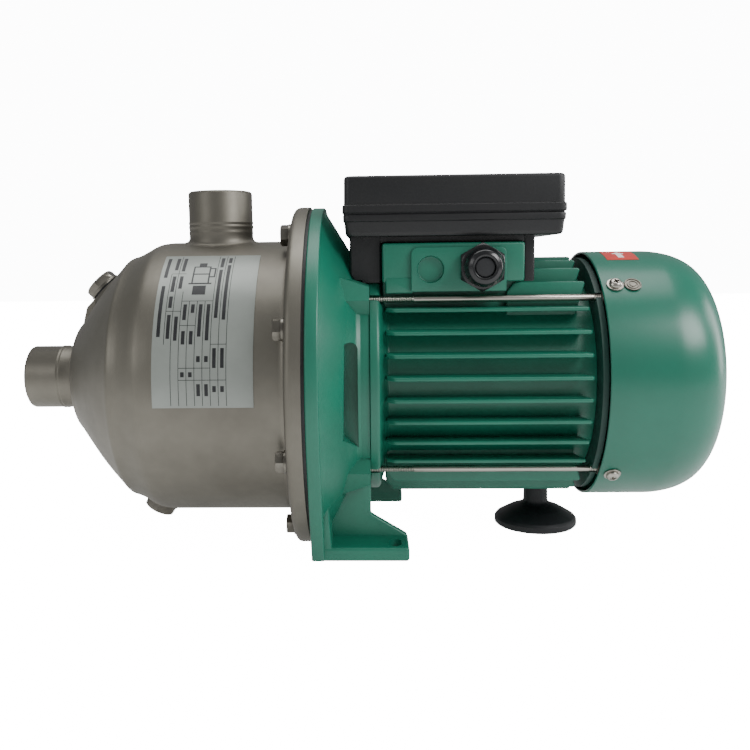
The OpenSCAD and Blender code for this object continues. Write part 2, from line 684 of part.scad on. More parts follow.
// Pan-head screws with washers that hold the fan cover to the end shield
module cover_screws() color([0.75, 0.75, 0.73])
    at_cover_screws() translate([shield_end + 2, 0, shaft_h + cover_d / 2 + 0.02]) {
        cylinder(h = 1.1, r = 4.4, $fn = 40);
        translate([0, 0, 1.0]) pan_head();
        translate([0, 0, -9]) cylinder(h = 9.4, r = 1.6, $fn = 24);
    }
module pan_head() {
    difference() {
        rotate_extrude($fn = 40) polygon([[0, 0], [3.4, 0], [3.4, 1], [2.6, 1.9], [1, 2.3], [0, 2.3]]);
        for (a = [0, 90]) rotate(a) translate([-1.7, -0.35, 1.2]) cube([3.4, 0.7, 2]);
    }
}
module cover_badge() color([0.7, 0.7, 0.68])
    around(1, 42) translate([124, 0, shaft_h + cover_d / 2 + 0.02]) cylinder(h = 0.9, r = 4.4, $fn = 48);
module rubber_foot() color([0.08, 0.08, 0.09])
    translate([foot_x, 0, 0]) difference() {
        rotate_extrude($fn = 72) polygon([[0, 0], [foot_d / 2 - 0.8, 0], [foot_d / 2, 0.8],
            [foot_d / 2, 3.4], [foot_d / 2 - 1, 4.6], [10, 11], [7, 13], [7, 23.2], [0, 23.2]]);
        translate([0, 0, 8]) cylinder(h = 20, r = 3.9, $fn = 32);
    }
module foot_stud() color([0.7, 0.7, 0.68])
    translate([foot_x, 0, 8]) cylinder(h = 25, r = 3.9, $fn = 32);

// ---- terminal box ----

module at_lid_screws() {
    for (x = [box_x + screw_in, box_x + box_len - screw_in], s = [-1, 1])
        translate([x, s * (box_w / 2 - screw_in), 0]) children();
}
module terminal_box_base() color([0.1, 0.1, 0.11]) {
    x = [box_x, box_x + box_len];
    w = box_w / 2;
    cheek_front = -22.7;
    cheek_back = 74.8;
    difference() {
        union() {
            box(x, [-w, w], [box_floor, base_top]);
            box([cheek_front, cheek_back], [-neck_half, neck_half], [pedestal_top, box_floor + 1]);
            box([cheek_front, pedestal[0] - 0.2], [-neck_half, neck_half], [130, box_floor + 1]);
            box([pedestal[1] + 0.2, cheek_back], [-neck_half, neck_half], [140, box_floor + 1]);
        }
        difference() {
            box([x[0] + box_wall, x[1] - box_wall], [box_wall - w, w - box_wall],
                [box_floor + 2.6, base_top + 1]);
            at_lid_screws() cylinder(h = 300, r = 4.4, $fn = 40);
        }
        box([8, 54], [-22, 22], [pedestal_top - 1, box_floor + 10]);
        rod_x(-18, 90, motor_d / 2 + 0.4);
        turned([[0, -40], [99, -40], [73, -24.4], [68, -20], [68, -17], [0, -17]]);
        at_lid_screws() translate([0, 0, base_top - 9]) cylinder(h = 20, r = 1.7, $fn = 24);
    }
}
module box_gasket() color([0.05, 0.05, 0.05]) {
    w = box_w / 2 - 0.8;
    difference() {
        box([box_x + 0.8, box_x + box_len - 0.8], [-w, w], [base_top, lid_z]);
        difference() {
            box([box_x + 2.4, box_x + box_len - 2.4], [1.6 - w, w - 1.6], [base_top - 1, lid_z + 1]);
            at_lid_screws() cylinder(h = 300, r = 4.4, $fn = 40);
        }
        at_lid_screws() cylinder(h = 300, r = 2.1, $fn = 24);
    }
}
module terminal_box_lid() color([0.1, 0.1, 0.11]) {
    lip = 0.7;
    lip_top = 184.4;
    x = [box_x, box_x + box_len];
    w = box_w / 2;
    difference() {
        union() {
            box(x, [-w, w], [lid_z, box_top]);
            box([x[0] - lip, x[1] + lip], [-w - lip, w + lip], [lid_z, lip_top]);
        }
        difference() {
            box([x[0] + box_wall, x[1] - box_wall], [box_wall - w, w - box_wall],
                [lid_z - 1, box_top - 2.4]);
            at_lid_screws() cylinder(h = 300, r = 4.4, $fn = 40);
        }
        at_lid_screws() cylinder(h = 300, r = 2, $fn = 24);
        at_lid_screws() translate([0, 0, box_top - 3]) cylinder(h = 10, r = 3.9, $fn = 40);
    }
}
module lid_screws() color([0.7, 0.7, 0.68])
    at_lid_screws() {
        translate([0, 0, box_top - 3]) pan_head();
        translate([0, 0, base_top - 8]) cylinder(h = box_top - base_top + 5.2, r = 1.6, $fn = 24);
    }
module terminal_block() color([0.85, 0.82, 0.74]) {
    x = -14;
    top = box_floor + 2.6;
    difference() {
        box([x, x + 16], [-26, 26], [top, top + 10]);
        for (i = [-2.5:1:2.5]) translate([x - 1, i * 8.4 - 3, top + 4]) cube([6, 6, 8]);
    }
    for (i = [-2.5:1:2.5]) translate([x + 10, i * 8.4, top + 9.9]) cylinder(h = 2.4, r = 2.4, $fn = 24);
}
module capacitor() color([0.85, 0.85, 0.84])
    translate([18, 26, box_floor + 2.6 + 12.2]) rotate([0, 90, 0]) {
        cylinder(h = 54, r = 12, $fn = 64);
        translate([0, 0, 53.9]) cylinder(h = 2, r = 9, $fn = 48);
        translate([0, 0, 55.5]) for (s = [-1, 1]) translate([s * 3.5 - 0.4, -3, 0]) cube([0.8, 6, 4]);
    }
module gland_body() color([0.07, 0.07, 0.08])
    translate(gland_at) rotate([90, 0, 0]) difference() {
        union() {
            cylinder(h = 4.2, r = 12.4, $fn = 6);
            translate([0, 0, -8]) cylinder(h = 8.5, r = 8, $fn = 48);
            translate([0, 0, 4]) cylinder(h = 6, r = 8, $fn = 48);
        }
        translate([0, 0, -9]) cylinder(h = 22, r = 6.5, $fn = 48);
    }
module gland_seal() color([0.12, 0.12, 0.12])
    translate(gland_at) rotate([90, 0, 0]) {
        translate([0, 0, 4]) cylinder(h = 8.5, r = 6.4, $fn = 48);
    }
module gland_nut() color([0.07, 0.07, 0.08])
    translate(gland_at) rotate([90, 0, 0]) difference() {
        translate([0, 0, 4.4]) rotate_extrude($fn = 72) polygon(concat([[0, 0], [gland_d / 2, 0]],
            arc(gland_d / 2 - 4, 6, 4, 0, 80, 6), [[0, 10]]));
        translate([0, 0, 4]) cylinder(h = 8.6, r = 8.1, $fn = 48);
        cylinder(h = 20, r = 5, $fn = 48);
    }

// ---- sheets on the outside ----

// A thin sheet wrapped on a barrel of radius r, from angle a to b below the top on the near side
module wrap(r, x, a, b, t) {
    along_shaft() rotate([0, 0, 180 + a]) rotate_extrude(angle = b - a, $fn = 180)
        polygon([[r, x[0]], [r + t, x[0]], [r + t, x[1]], [r, x[1]]]);
}
module type_label() color([0.8, 0.8, 0.78]) wrap(casing_r, [-121.5, -70.5], 26.6, 94.4, 0.15);
module direction_arrow() color([0.8, 0.1, 0.1])
    intersection() {
        ring_x(114, 140, cover_d / 2 + 0.15, cover_d / 2);
        translate([0, -17, shaft_h + 50]) linear_extrude(30) polygon([[117, 6], [125, 6], [125, 10],
            [134, 0], [125, -10], [125, -6], [117, -6]]);
    }

pump_casing();
suction_socket();
discharge_socket();
fill_plug();
fill_plug_oring();
drain_plug();
drain_plug_oring();
casing_oring();
seal_plate();
inlet_housing();
stage_housing_1();
stage_housing_2();
diffuser_1();
diffuser_2();
clamp_ring();
impeller_1();
impeller_2();
impeller_spacer();
impeller_nut();
seal_head();
seal_spring();
seal_seat();
flange_bolts();
flange_washers();
lantern();
splash_ring();
motor_shaft();
rotor_core();
rotor_end_rings();
front_bearing_outer();
front_bearing_inner();
front_bearing_balls();
rear_bearing_outer();
rear_bearing_inner();
rear_bearing_balls();
wave_washer();
stator_housing();
stator_core();
stator_winding();
rear_shield();
tie_rods();
tie_rod_nuts();
fan();
fan_cover();
cover_screws();
cover_badge();
rubber_foot();
foot_stud();
terminal_box_base();
box_gasket();
terminal_box_lid();
lid_screws();
terminal_block();
capacitor();
gland_body();
gland_seal();
gland_nut();
type_label();
direction_arrow();
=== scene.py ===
import json
import math
import bpy
from mathutils import Matrix, Vector

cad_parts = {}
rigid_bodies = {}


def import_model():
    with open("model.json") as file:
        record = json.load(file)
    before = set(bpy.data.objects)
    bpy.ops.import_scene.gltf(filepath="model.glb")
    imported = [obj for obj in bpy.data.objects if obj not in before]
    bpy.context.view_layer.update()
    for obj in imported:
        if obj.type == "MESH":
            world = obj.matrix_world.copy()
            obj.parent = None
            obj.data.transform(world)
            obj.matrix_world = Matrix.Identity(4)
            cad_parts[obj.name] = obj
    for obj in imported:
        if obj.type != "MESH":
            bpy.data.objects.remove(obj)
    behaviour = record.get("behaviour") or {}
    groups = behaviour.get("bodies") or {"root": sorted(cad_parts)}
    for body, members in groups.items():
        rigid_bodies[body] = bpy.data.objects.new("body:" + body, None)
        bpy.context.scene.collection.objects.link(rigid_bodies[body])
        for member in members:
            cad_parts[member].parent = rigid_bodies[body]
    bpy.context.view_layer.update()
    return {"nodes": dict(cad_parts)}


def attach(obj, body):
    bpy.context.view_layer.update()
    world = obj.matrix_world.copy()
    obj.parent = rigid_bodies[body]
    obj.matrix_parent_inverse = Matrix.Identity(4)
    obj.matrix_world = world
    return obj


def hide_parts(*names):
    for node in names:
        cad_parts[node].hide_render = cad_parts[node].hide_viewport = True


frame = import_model()
mm = 0.001
shaftZ = 90          # height of the shaft, mm
staticBody = "pump_frame"


# small helpers

def objectMode():
    if bpy.context.mode != "OBJECT":
        bpy.ops.object.mode_set(mode="OBJECT")


def deselectAll():
    objectMode()
    bpy.ops.object.select_all(action="DESELECT")


def activate(piece):
    deselectAll()
    piece.select_set(True)
    bpy.context.view_layer.objects.active = piece


def applyMoves():
    bpy.ops.object.transform_apply(location=True, rotation=True, scale=True)


def editAll(piece):
    activate(piece)
    bpy.ops.object.mode_set(mode="EDIT")
    bpy.ops.mesh.select_all(action="SELECT")


def tidyMesh(piece):
    # close seams and poles, then turn every face outwards
    editAll(piece)
    bpy.ops.mesh.remove_doubles(threshold=2e-6)
    bpy.ops.mesh.normals_make_consistent(inside=False)
    objectMode()


def place(piece, at=(0, 0, 0), turn=(0, 0, 0)):
    # moves a piece to its place in mm and degrees, and keeps its object at the origin
    activate(piece)
    piece.rotation_euler = [math.radians(a) for a in turn]
    piece.location = Vector(at) * mm
    applyMoves()
    return piece


def runLine(points, closed=False):
    # one vertex, extruded from point to point
    bpy.ops.mesh.merge(type="CENTER")
    bpy.ops.transform.translate(value=Vector(points[0]) * mm)
    for a, b in zip(points, points[1:]):
        step = (Vector(b) - Vector(a)) * mm
        bpy.ops.mesh.extrude_region_move(TRANSFORM_OT_translate={"value": step})
    bpy.ops.mesh.select_all(action="SELECT")
    if closed:
        bpy.ops.mesh.edge_face_add()


def startPiece(name):
    deselectAll()
    bpy.ops.mesh.primitive_plane_add(size=mm, location=(0, 0, 0))
    piece = bpy.context.object
    piece.name = piece.data.name = name
    bpy.ops.object.mode_set(mode="EDIT")
    bpy.ops.mesh.select_all(action="SELECT")
    return piece


def spunPiece(name, profile, steps=96, at=(0, 0, 0), turn=(0, 0, 0)):
    # profile is radius and height; a closed shell repeats its first point
    piece = startPiece(name)
    runLine([(r, 0, z) for r, z in profile])
    bpy.ops.mesh.spin(steps=steps, angle=2 * math.pi, center=(0, 0, 0), axis=(0, 0, 1))
    tidyMesh(piece)
    return place(piece, at, turn)


def drill(name, radius, low, high, steps, at=(0, 0, 0), turn=(0, 0, 0)):
    # plain round bar, for holes
    return spunPiece(name, [(0, low), (radius, low), (radius, high), (0, high), (0, low)], steps,
                     at, turn)


def shaftPiece(name, profile, steps=96):
    # profile is radius and place along the shaft
    return spunPiece(name, profile, steps, (0, 0, shaftZ), (0, 90, 0))


def platePiece(name, outline, thickness, at=(0, 0, 0), turn=(0, 0, 0)):
    piece = startPiece(name)
    runLine([(u, v, 0) for u, v in outline], closed=True)
    bpy.ops.mesh.extrude_region_move(TRANSFORM_OT_translate={"value": (0, 0, thickness * mm)})
    tidyMesh(piece)
    return place(piece, at, turn)


def blockPiece(name, low, high, edge=0, segments=3):
    # box between two corners, with all its edges rounded
    deselectAll()
    middle = [(a + b) / 2 * mm for a, b in zip(low, high)]
    bpy.ops.mesh.primitive_cube_add(size=1, location=middle)
    piece = bpy.context.object
    piece.name = piece.data.name = name
    piece.scale = [(b - a) * mm for a, b in zip(low, high)]
    applyMoves()
    if edge:
        roundEdges(piece, edge, segments)
    return piece


def useModifier(piece, kind, **settings):
    activate(piece)
    modifier = piece.modifiers.new(kind.title(), kind)
    for key, value in settings.items():
        setattr(modifier, key, value)
    bpy.ops.object.modifier_apply(modifier=modifier.name)


def roundEdges(piece, width, segments=3, angle=30):
    useModifier(piece, "BEVEL", width=width * mm, segments=segments, limit_method="ANGLE",
                angle_limit=math.radians(angle), use_clamp_overlap=True, miter_outer="MITER_ARC")


def combine(piece, other, operation="UNION"):
    # exact boolean; the other piece is used up
    useModifier(piece, "BOOLEAN", object=other, operation=operation, solver="EXACT")
    bpy.data.objects.remove(other)
    editAll(piece)
    bpy.ops.mesh.remove_doubles(threshold=1e-6)
    bpy.ops.mesh.dissolve_degenerate(threshold=1e-6)
    objectMode()
    return piece


def cut(piece, other):
    return combine(piece, other, "DIFFERENCE")


def joinPieces(first, *others):
    activate(first)
    for piece in others:
        piece.select_set(True)
    bpy.ops.object.join()
    return first


def copyPiece(piece, name):
    activate(piece)
    bpy.ops.object.duplicate()
    twin = bpy.context.object
    twin.name = twin.data.name = name
    return twin


def turned(piece, angle):
    # turns a piece about the shaft
    activate(piece)
    bpy.ops.transform.rotate(value=-math.radians(angle), orient_axis="X",
                             center_override=(0, 0, shaftZ * mm))
    applyMoves()
    return piece


def mirrored(piece, name, axis, about=0):
    twin = copyPiece(piece, name)
    for vertex in twin.data.vertices:
        vertex.co[axis] = 2 * about * mm - vertex.co[axis]
    editAll(twin)
    bpy.ops.mesh.flip_normals()
    objectMode()
    return twin


def polar(radius, angle):
    return radius * math.cos(math.radians(angle)), radius * math.sin(math.radians(angle))


def arcLine(centre, radius, start, end, steps):
    return [(centre[0] + polar(radius, start + (end - start) * i / steps)[0],
             centre[1] + polar(radius, start + (end - start) * i / steps)[1])
            for i in range(steps + 1)]


def softCorners(points, radius, steps=5):
    # rounds each inner corner of a line; radius may be one number or one for each point
    radii = radius if isinstance(radius, list) else [radius] * len(points)
    line = [points[0]]
    for before, corner, after, r in zip(points, points[1:], points[2:], radii[1:]):
        c = Vector(corner)
        a, b = Vector(before) - c, Vector(after) - c
        half = a.angle(b) / 2
        if r <= 0 or half > math.radians(89):
            line.append(corner)
            continue
        reach = min(r / math.tan(half), a.length * 0.48, b.length * 0.48)
        start, end = c + a.normalized() * reach, c + b.normalized() * reach
        for i in range(steps + 1):
            t = i / steps
            p = start * (1 - t) ** 2 + c * 2 * t * (1 - t) + end * t ** 2
            line.append((p.x, p.y))
    line.append(points[-1])
    return line


def closedSoft(points, radius, steps=5):
    # rounded closed outline
    n = len(points)
    first = ((points[0][0] + points[-1][0]) / 2, (points[0][1] + points[-1][1]) / 2)
    radii = radius if isinstance(radius, list) else [radius] * n
    return softCorners([first] + points + [first], [0] + radii + [0], steps)[:-1]


def smoothLine(points, steps=4):
    # a smooth curve through all the points
    line = []
    for i in range(len(points) - 1):
        p0 = Vector(points[max(i - 1, 0)])
        p1, p2 = Vector(points[i]), Vector(points[i + 1])
        p3 = Vector(points[min(i + 2, len(points) - 1)])
        for k in range(steps):
            t = k / steps
            p = 0.5 * (2 * p1 + (p2 - p0) * t + (2 * p0 - 5 * p1 + 4 * p2 - p3) * t ** 2
                       + (3 * p1 - p0 - 3 * p2 + p3) * t ** 3)
            line.append((p.x, p.y))
    return line + [points[-1]]


def finishPiece(piece, material, replaced, body=staticBody, smooth=32):
    activate(piece)
    applyMoves()
    bpy.ops.object.shade_smooth_by_angle(angle=math.radians(smooth))
    piece.data.materials.clear()
    piece.data.materials.append(material)
    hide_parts(replaced)
    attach(piece, body)
    return piece


# materials

def linearColour(code):
    values = [int(code[i:i + 2], 16) / 255 for i in (1, 3, 5)]
    return [v / 12.92 if v <= 0.04045 else ((v + 0.055) / 1.055) ** 2.4 for v in values] + [1]


def addNode(tree, kind, inputs=None, **settings):
    node = tree.nodes.new(kind)
    for key, value in settings.items():
        setattr(node, key, value)
    for socket, value in (inputs or {}).items():
        if isinstance(value, bpy.types.NodeSocket):
            tree.links.new(value, node.inputs[socket])
        else:
            node.inputs[socket].default_value = value
    return node


def perSize(size):
    # pattern scale for a feature of this many mm
    return 1 / (size * mm)


def surfaceFinish(name, colour, shade, roughness, metallic=0, blotch=30, grain=0.8, grainDepth=0.02,
                  wave=0, waveDepth=0, streaks=None, **sockets):
    # colour drifts between two tones over the blotch size; grain and wave give the relief in mm
    material = bpy.data.materials.new(name)
    material.use_nodes = True
    tree = material.node_tree
    shader = tree.nodes["Principled BSDF"]
    shader.inputs["Metallic"].default_value = metallic
    for socket, value in sockets.items():
        shader.inputs[socket.replace("_", " ")].default_value = value
    place3d = addNode(tree, "ShaderNodeTexCoord").outputs["Object"]
    if streaks:
        stretched = addNode(tree, "ShaderNodeMapping", {"Vector": place3d, "Scale": streaks})
        place3d = stretched.outputs["Vector"]
    patches = addNode(tree, "ShaderNodeTexNoise",
                      {"Vector": place3d, "Scale": perSize(blotch), "Detail": 4, "Roughness": 0.6})
    spread = addNode(tree, "ShaderNodeMapRange",
                     {"Value": patches.outputs["Fac"], "From Min": 0.3, "From Max": 0.7})
    mix = addNode(tree, "ShaderNodeMixRGB", {"Fac": spread.outputs["Result"],
                                             "Color1": linearColour(colour),
                                             "Color2": linearColour(shade)})
    fine = addNode(tree, "ShaderNodeTexNoise",
                   {"Vector": place3d, "Scale": perSize(grain), "Detail": 3, "Roughness": 0.55})
    tree.links.new(mix.outputs["Color"], shader.inputs["Base Color"])
    gloss = addNode(tree, "ShaderNodeMapRange",
                    {"Value": patches.outputs["Fac"], "From Min": 0.25, "From Max": 0.75,
                     "To Min": roughness[0], "To Max": roughness[1]})
    tree.links.new(gloss.outputs["Result"], shader.inputs["Roughness"])
    relief = addNode(tree, "ShaderNodeBump", {"Height": fine.outputs["Fac"], "Strength": 0.6,
                                              "Distance": grainDepth * mm})
    if wave:
        swell = addNode(tree, "ShaderNodeTexNoise",
                        {"Vector": place3d, "Scale": perSize(wave), "Detail": 1})
        relief = addNode(tree, "ShaderNodeBump", {"Height": swell.outputs["Fac"], "Strength": 0.5,
                                                  "Distance": waveDepth * mm,
                                                  "Normal": relief.outputs["Normal"]})
    tree.links.new(relief.outputs["Normal"], shader.inputs["Normal"])
    return material


# two-part enamel on sand-cast aluminium: satin, with the casting's faint orange peel
castEnamel = surfaceFinish("castEnamel", "#0a6c55", "#085f4b", (0.36, 0.46), blotch=45, grain=0.9,
                           grainDepth=0.035, wave=5, waveDepth=0.12, Coat_Weight=0.15,
                           Coat_Roughness=0.3)
# the same enamel on pressed steel, smoother and glossier
sheetEnamel = surfaceFinish("sheetEnamel", "#096651", "#075b48", (0.3, 0.38), blotch=60, grain=1.4,
                            grainDepth=0.015, wave=14, waveDepth=0.08, Coat_Weight=0.12,
                            Coat_Roughness=0.22)
# green enamel darkened to paint the shade that falls inside the end shield, between the fins and
# the fan cover
paintedShadeEnamel = surfaceFinish("paintedShadeEnamel", "#0d3d33", "#0a2f29", (0.45, 0.6), blotch=20, grain=0.8,
                            grainDepth=0.04)
# bead-blasted 304 stainless steel: matt, even sparkle, slightly warm
blastedSteel = surfaceFinish("blastedSteel", "#7f7c73", "#6e6b63", (0.42, 0.52), metallic=1,
                             blotch=55, grain=0.45, grainDepth=0.02, wave=18, waveDepth=0.1)
# stainless screws, washers and plugs: turned and tumbled
screwSteel = surfaceFinish("screwSteel", "#7d7a72", "#68655e", (0.26, 0.38), metallic=1, blotch=6,
                           grain=0.35, grainDepth=0.02)
# zinc-plated drawn rod, with fine drawing marks along its length
drawnZinc = surfaceFinish("drawnZinc", "#b9b5ad", "#9a968e", (0.22, 0.34), metallic=1, blotch=12,
                          grain=0.3, grainDepth=0.015, streaks=(0.08, 1, 1))
# moulded ABS with a spark-eroded texture
texturedAbs = surfaceFinish("texturedAbs", "#0c0e11", "#090a0c", (0.42, 0.52), blotch=30,
                            grain=0.55, grainDepth=0.06)
# polished moulded nylon of the cable gland
glossNylon = surfaceFinish("glossNylon", "#111214", "#18191b", (0.2, 0.28), blotch=10, grain=1.5,
                           grainDepth=0.02)
# cured black rubber, matt with a little bloom
footRubber = surfaceFinish("footRubber", "#121417", "#1a1c20", (0.5, 0.65), blotch=14, grain=0.6,
                           grainDepth=0.04)
# silver polyester label film
labelFilm = surfaceFinish("labelFilm", "#8d928d", "#838883", (0.3, 0.36), blotch=25, grain=0.4,
                          grainDepth=0.005, metallic=0.25)
labelInk = surfaceFinish("labelInk", "#111315", "#1b1d1f", (0.4, 0.5), blotch=6, grain=0.4,
                         grainDepth=0.004)
redFilm = surfaceFinish("redFilm", "#c8372f", "#bb2f29", (0.3, 0.38), blotch=12, grain=0.5,
                        grainDepth=0.006)
whiteInk = surfaceFinish("whiteInk", "#e9e9e6", "#dededb", (0.35, 0.42), blotch=8, grain=0.5,
                         grainDepth=0.004)

print("materials made")


# camera, light and floor

view = {"at": (-11.74, -485.31, 156.47), "yaw": 0.0351, "pitch": -0.1263, "roll": 0.0130,
        "lens": 40.02, "shift": (0.0437, -0.0122)}


def makeCamera():
    deselectAll()
    bpy.ops.object.camera_add()
    camera = bpy.context.object
    camera.name = "studioCamera"
    camera.data.lens, camera.data.sensor_width = view["lens"], 36
    camera.data.shift_x, camera.data.shift_y = view["shift"]
    camera.data.clip_start, camera.data.clip_end = 0.01, 20
    aim = (Matrix.Rotation(view["yaw"], 4, "Z") @ Matrix.Rotation(view["pitch"], 4, "X")
           @ Matrix.Rotation(view["roll"], 4, "Y") @ Matrix.Rotation(math.pi / 2, 4, "X"))
    camera.matrix_world = Matrix.Translation(Vector(view["at"]) * mm) @ aim
    bpy.context.scene.camera = camera


def softbox(name, at, aimAt, size, power, tint="#ffffff"):
    deselectAll()
    bpy.ops.object.light_add(type="AREA", location=at)
    lamp = bpy.context.object
    lamp.name = name
    lamp.data.shape = "RECTANGLE"
    lamp.data.size, lamp.data.size_y = size
    lamp.data.energy = power
    lamp.data.color = linearColour(tint)[:3]
    lamp.rotation_euler = (Vector(aimAt) - Vector(at)).to_track_quat("-Z", "Y").to_euler()


def makeStudio():
    world = bpy.data.worlds.new("studioAir")
    bpy.context.scene.world = world
    world.use_nodes = True
    tree = world.node_tree
    air = tree.nodes["Background"]
    air.inputs["Color"].default_value = linearColour("#f6f7f8")
    # the backdrop is burnt out white, the air around the pump stays soft
    path = addNode(tree, "ShaderNodeLightPath")
    level = addNode(tree, "ShaderNodeMapRange", {"Value": path.outputs["Is Camera Ray"],
                                                 "To Min": 0.38, "To Max": 14})
    tree.links.new(level.outputs["Result"], air.inputs["Strength"])
    softbox("keyLight", (1.0, -0.75, 0.95), (0.05, 0, 0.1), (0.6, 0.6), 15)
    softbox("sideLight", (1.0, 0.1, 0.35), (0.1, 0, 0.1), (0.3, 0.6), 4)
    softbox("topLight", (0.0, 0.1, 1.3), (0, 0, 0.1), (1.3, 0.7), 11)
    softbox("fillLight", (-1.1, -0.9, 0.7), (0, 0, 0.1), (0.5, 0.5), 2.5)
    deselectAll()
    bpy.ops.mesh.primitive_plane_add(size=6, location=(0, 0, -0.0005))
    floor = bpy.context.object
    floor.name = "floor"
    finish = surfaceFinish("paleFloor", "#ececec", "#e8e8e8", (0.7, 0.8), blotch=400, grain=3,
                           grainDepth=0.01)
    # a light table: white to the eye, with a softer glow on the pump itself
    sight = addNode(finish.node_tree, "ShaderNodeLightPath")
    glow = addNode(finish.node_tree, "ShaderNodeMapRange", {"Value": sight.outputs["Is Camera Ray"],
                                                            "To Min": 0.42, "To Max": 16})
    shader = finish.node_tree.nodes["Principled BSDF"]
    shader.inputs["Emission Color"].default_value = linearColour("#ffffff")
    finish.node_tree.links.new(glow.outputs["Result"], shader.inputs["Emission Strength"])
    floor.data.materials.append(finish)


makeCamera()
makeStudio()
print("camera and studio ready")


# pump casing

casing = {"radius": 77.5, "wall": 1.6, "noseX": -180.5, "frontX": -54.0, "backX": -45.4,
          "flangeRadius": 96.5, "flatZ": 0.9, "socketRadius": 18.2, "dischargeX": -97.6,
          "rib": [(-181.7, 107.3), (-175.6, 131.2), (-161.3, 145.5), (-157, 121), (-172, 107.3)],
          "ribWidth": 18.4,
          "dome": [(29.0, -180.5), (31.6, -179.3), (34.5, -176.8), (38.0, -174.2), (51.0, -164.1),
                   (59.0, -157.2), (65.9, -150.6), (68.5, -148.2), (69.4, -146.8), (70.0, -144.8),
                   (71.1, -141.8), (73.0, -138.0), (75.3, -133.8), (76.8, -130.0), (77.5, -124.0)]}


# where each plug stands on the casing, and how far its axis leans from upright
plugs = {"fill_plug": {"at": (-165.6, 0, 141), "lean": -45},
         "drain_plug": {"at": (-137, 0, 15.7), "lean": -153.5}}


def makeCasing():
    radius, rim, wall = casing["radius"], casing["flangeRadius"], casing["wall"]
    outer = [(casing["socketRadius"], casing["noseX"])] + smoothLine(casing["dome"], 4)
    outer += softCorners([(radius, -122), (radius, casing["frontX"]), (rim, casing["frontX"]),
                          (rim, casing["backX"])], [0, 4.2, 4.4, 0], 7)[1:]
    inner = [(radius - wall, casing["backX"]), (radius - wall, -125)]
    inner += [(r - 1.3, x + 1.0) for r, x in reversed(casing["dome"][2:-1])]
    inner += [(casing["socketRadius"], casing["noseX"] + wall)]
    shell = shaftPiece("pumpCasing", outer + inner + [outer[0]], 144)
    padProfile = softCorners([(0, -7), (18, -7), (11.4, -0.6), (10.6, 0), (0, 0)],
                             [0, 0, 6, 1, 0], 5)
    for plug in plugs.values():
        # drawn pad with a soft skirt that the plug screws into
        combine(shell, spunPiece("plugPad", padProfile, 48, plug["at"], (0, plug["lean"], 0)))
    # a pressed rib runs from the fill plug's pad down to the suction socket
    rib = platePiece("plugRib", closedSoft(casing["rib"], [1, 4, 1, 1, 1]), casing["ribWidth"],
                     (0, casing["ribWidth"] / 2, 0), (90, 0, 0))
    roundEdges(rib, 2.0, 4, 50)
    combine(shell, rib)
    fill = plugs["fill_plug"]
    cut(shell, drill("seat", 10.8, 0, 8, 48, fill["at"], (0, fill["lean"], 0)))
    for plug in plugs.values():
        cut(shell, drill("hole", 6.6, -20, 10, 40, plug["at"], (0, plug["lean"], 0)))
    cut(shell, drill("neck", 16.8, 40, 100, 64, (casing["dischargeX"], 0, shaftZ)))
    editAll(shell)
    bpy.ops.mesh.bisect(plane_co=(0, 0, casing["flatZ"] * mm), plane_no=(0, 0, -1), use_fill=True,
                        clear_outer=True)
    objectMode()
    finishPiece(shell, blastedSteel, "pump_casing", smooth=28)


# one inch pipe thread in the bore, turned grooves near the casing, a soft weld at the foot
sockets = {"pitch": 2.309, "crest": 15.15, "root": 16.3, "radius": 18.2,
           "suctionLength": 32.6, "suctionBeads": [(14.0, 0.28), (12.2, 0.28)],
           "suctionFoot": [(18.2, 5.0), (18.35, 3.4), (18.9, 2.5), (19.8, 1.95), (21.0, 1.65),
                           (20.6, 0.6), (18.6, 0)],
           "dischargeBase": 164.5, "dischargeTop": 196,
           "dischargeBeads": [(13.8, 0.25), (11.5, 0.25), (8.3, 0.12)],
           "dischargeFoot": [(18.2, 5.8), (18.35, 4.9), (18.7, 4.2), (19.3, 3.6), (20.2, 3.2),
                             (21.4, 3.0), (20.8, 2.0), (18.0, 1.0)]}


def makeSockets():
    pitch, crest, root, radius = (sockets[k] for k in ("pitch", "crest", "root", "radius"))

    def tubeProfile(length, beads, foot):
        bore = [(crest, 0)]
        level = length - 24
        while level < length - 2.6:
            bore += [(crest, level), (root, level + pitch / 2)]
            level += pitch
        bore += [(crest, level), (crest + 1.4, length - 0.3), (crest + 1.7, length)]
        rim = [(17.0, length), (17.8, length - 0.5), (radius, length - 1.5)]
        wall = []
        for height, lift in beads:
            wall += [(radius, height + 1.0), (radius + lift, height + 0.35),
                     (radius + lift, height - 0.35), (radius, height - 1.0)]
        return bore + rim + wall + foot + [(crest, 0)]

    suction = tubeProfile(sockets["suctionLength"], sockets["suctionBeads"], sockets["suctionFoot"])
    piece = spunPiece("suctionSocket", suction, 96, (casing["noseX"] + casing["wall"], 0, shaftZ),
                      (0, -90, 0))
    finishPiece(piece, blastedSteel, "suction_socket", smooth=40)
    base = sockets["dischargeBase"]
    discharge = tubeProfile(sockets["dischargeTop"] - base, sockets["dischargeBeads"],
                            sockets["dischargeFoot"])
    piece = spunPiece("dischargeSocket", discharge, 120, (casing["dischargeX"], 0, base))
    for vertex in piece.data.vertices:
        # the foot follows the curve of the casing
        y, z = vertex.co.y / mm, vertex.co.z / mm
        drop = casing["radius"] - math.sqrt(max(casing["radius"] ** 2 - y * y, 0))
        share = min(max((base + 7.5 - z) / 3.5, 0), 1)
        vertex.co.z -= drop * share * mm
    finishPiece(piece, blastedSteel, "discharge_socket", smooth=40)


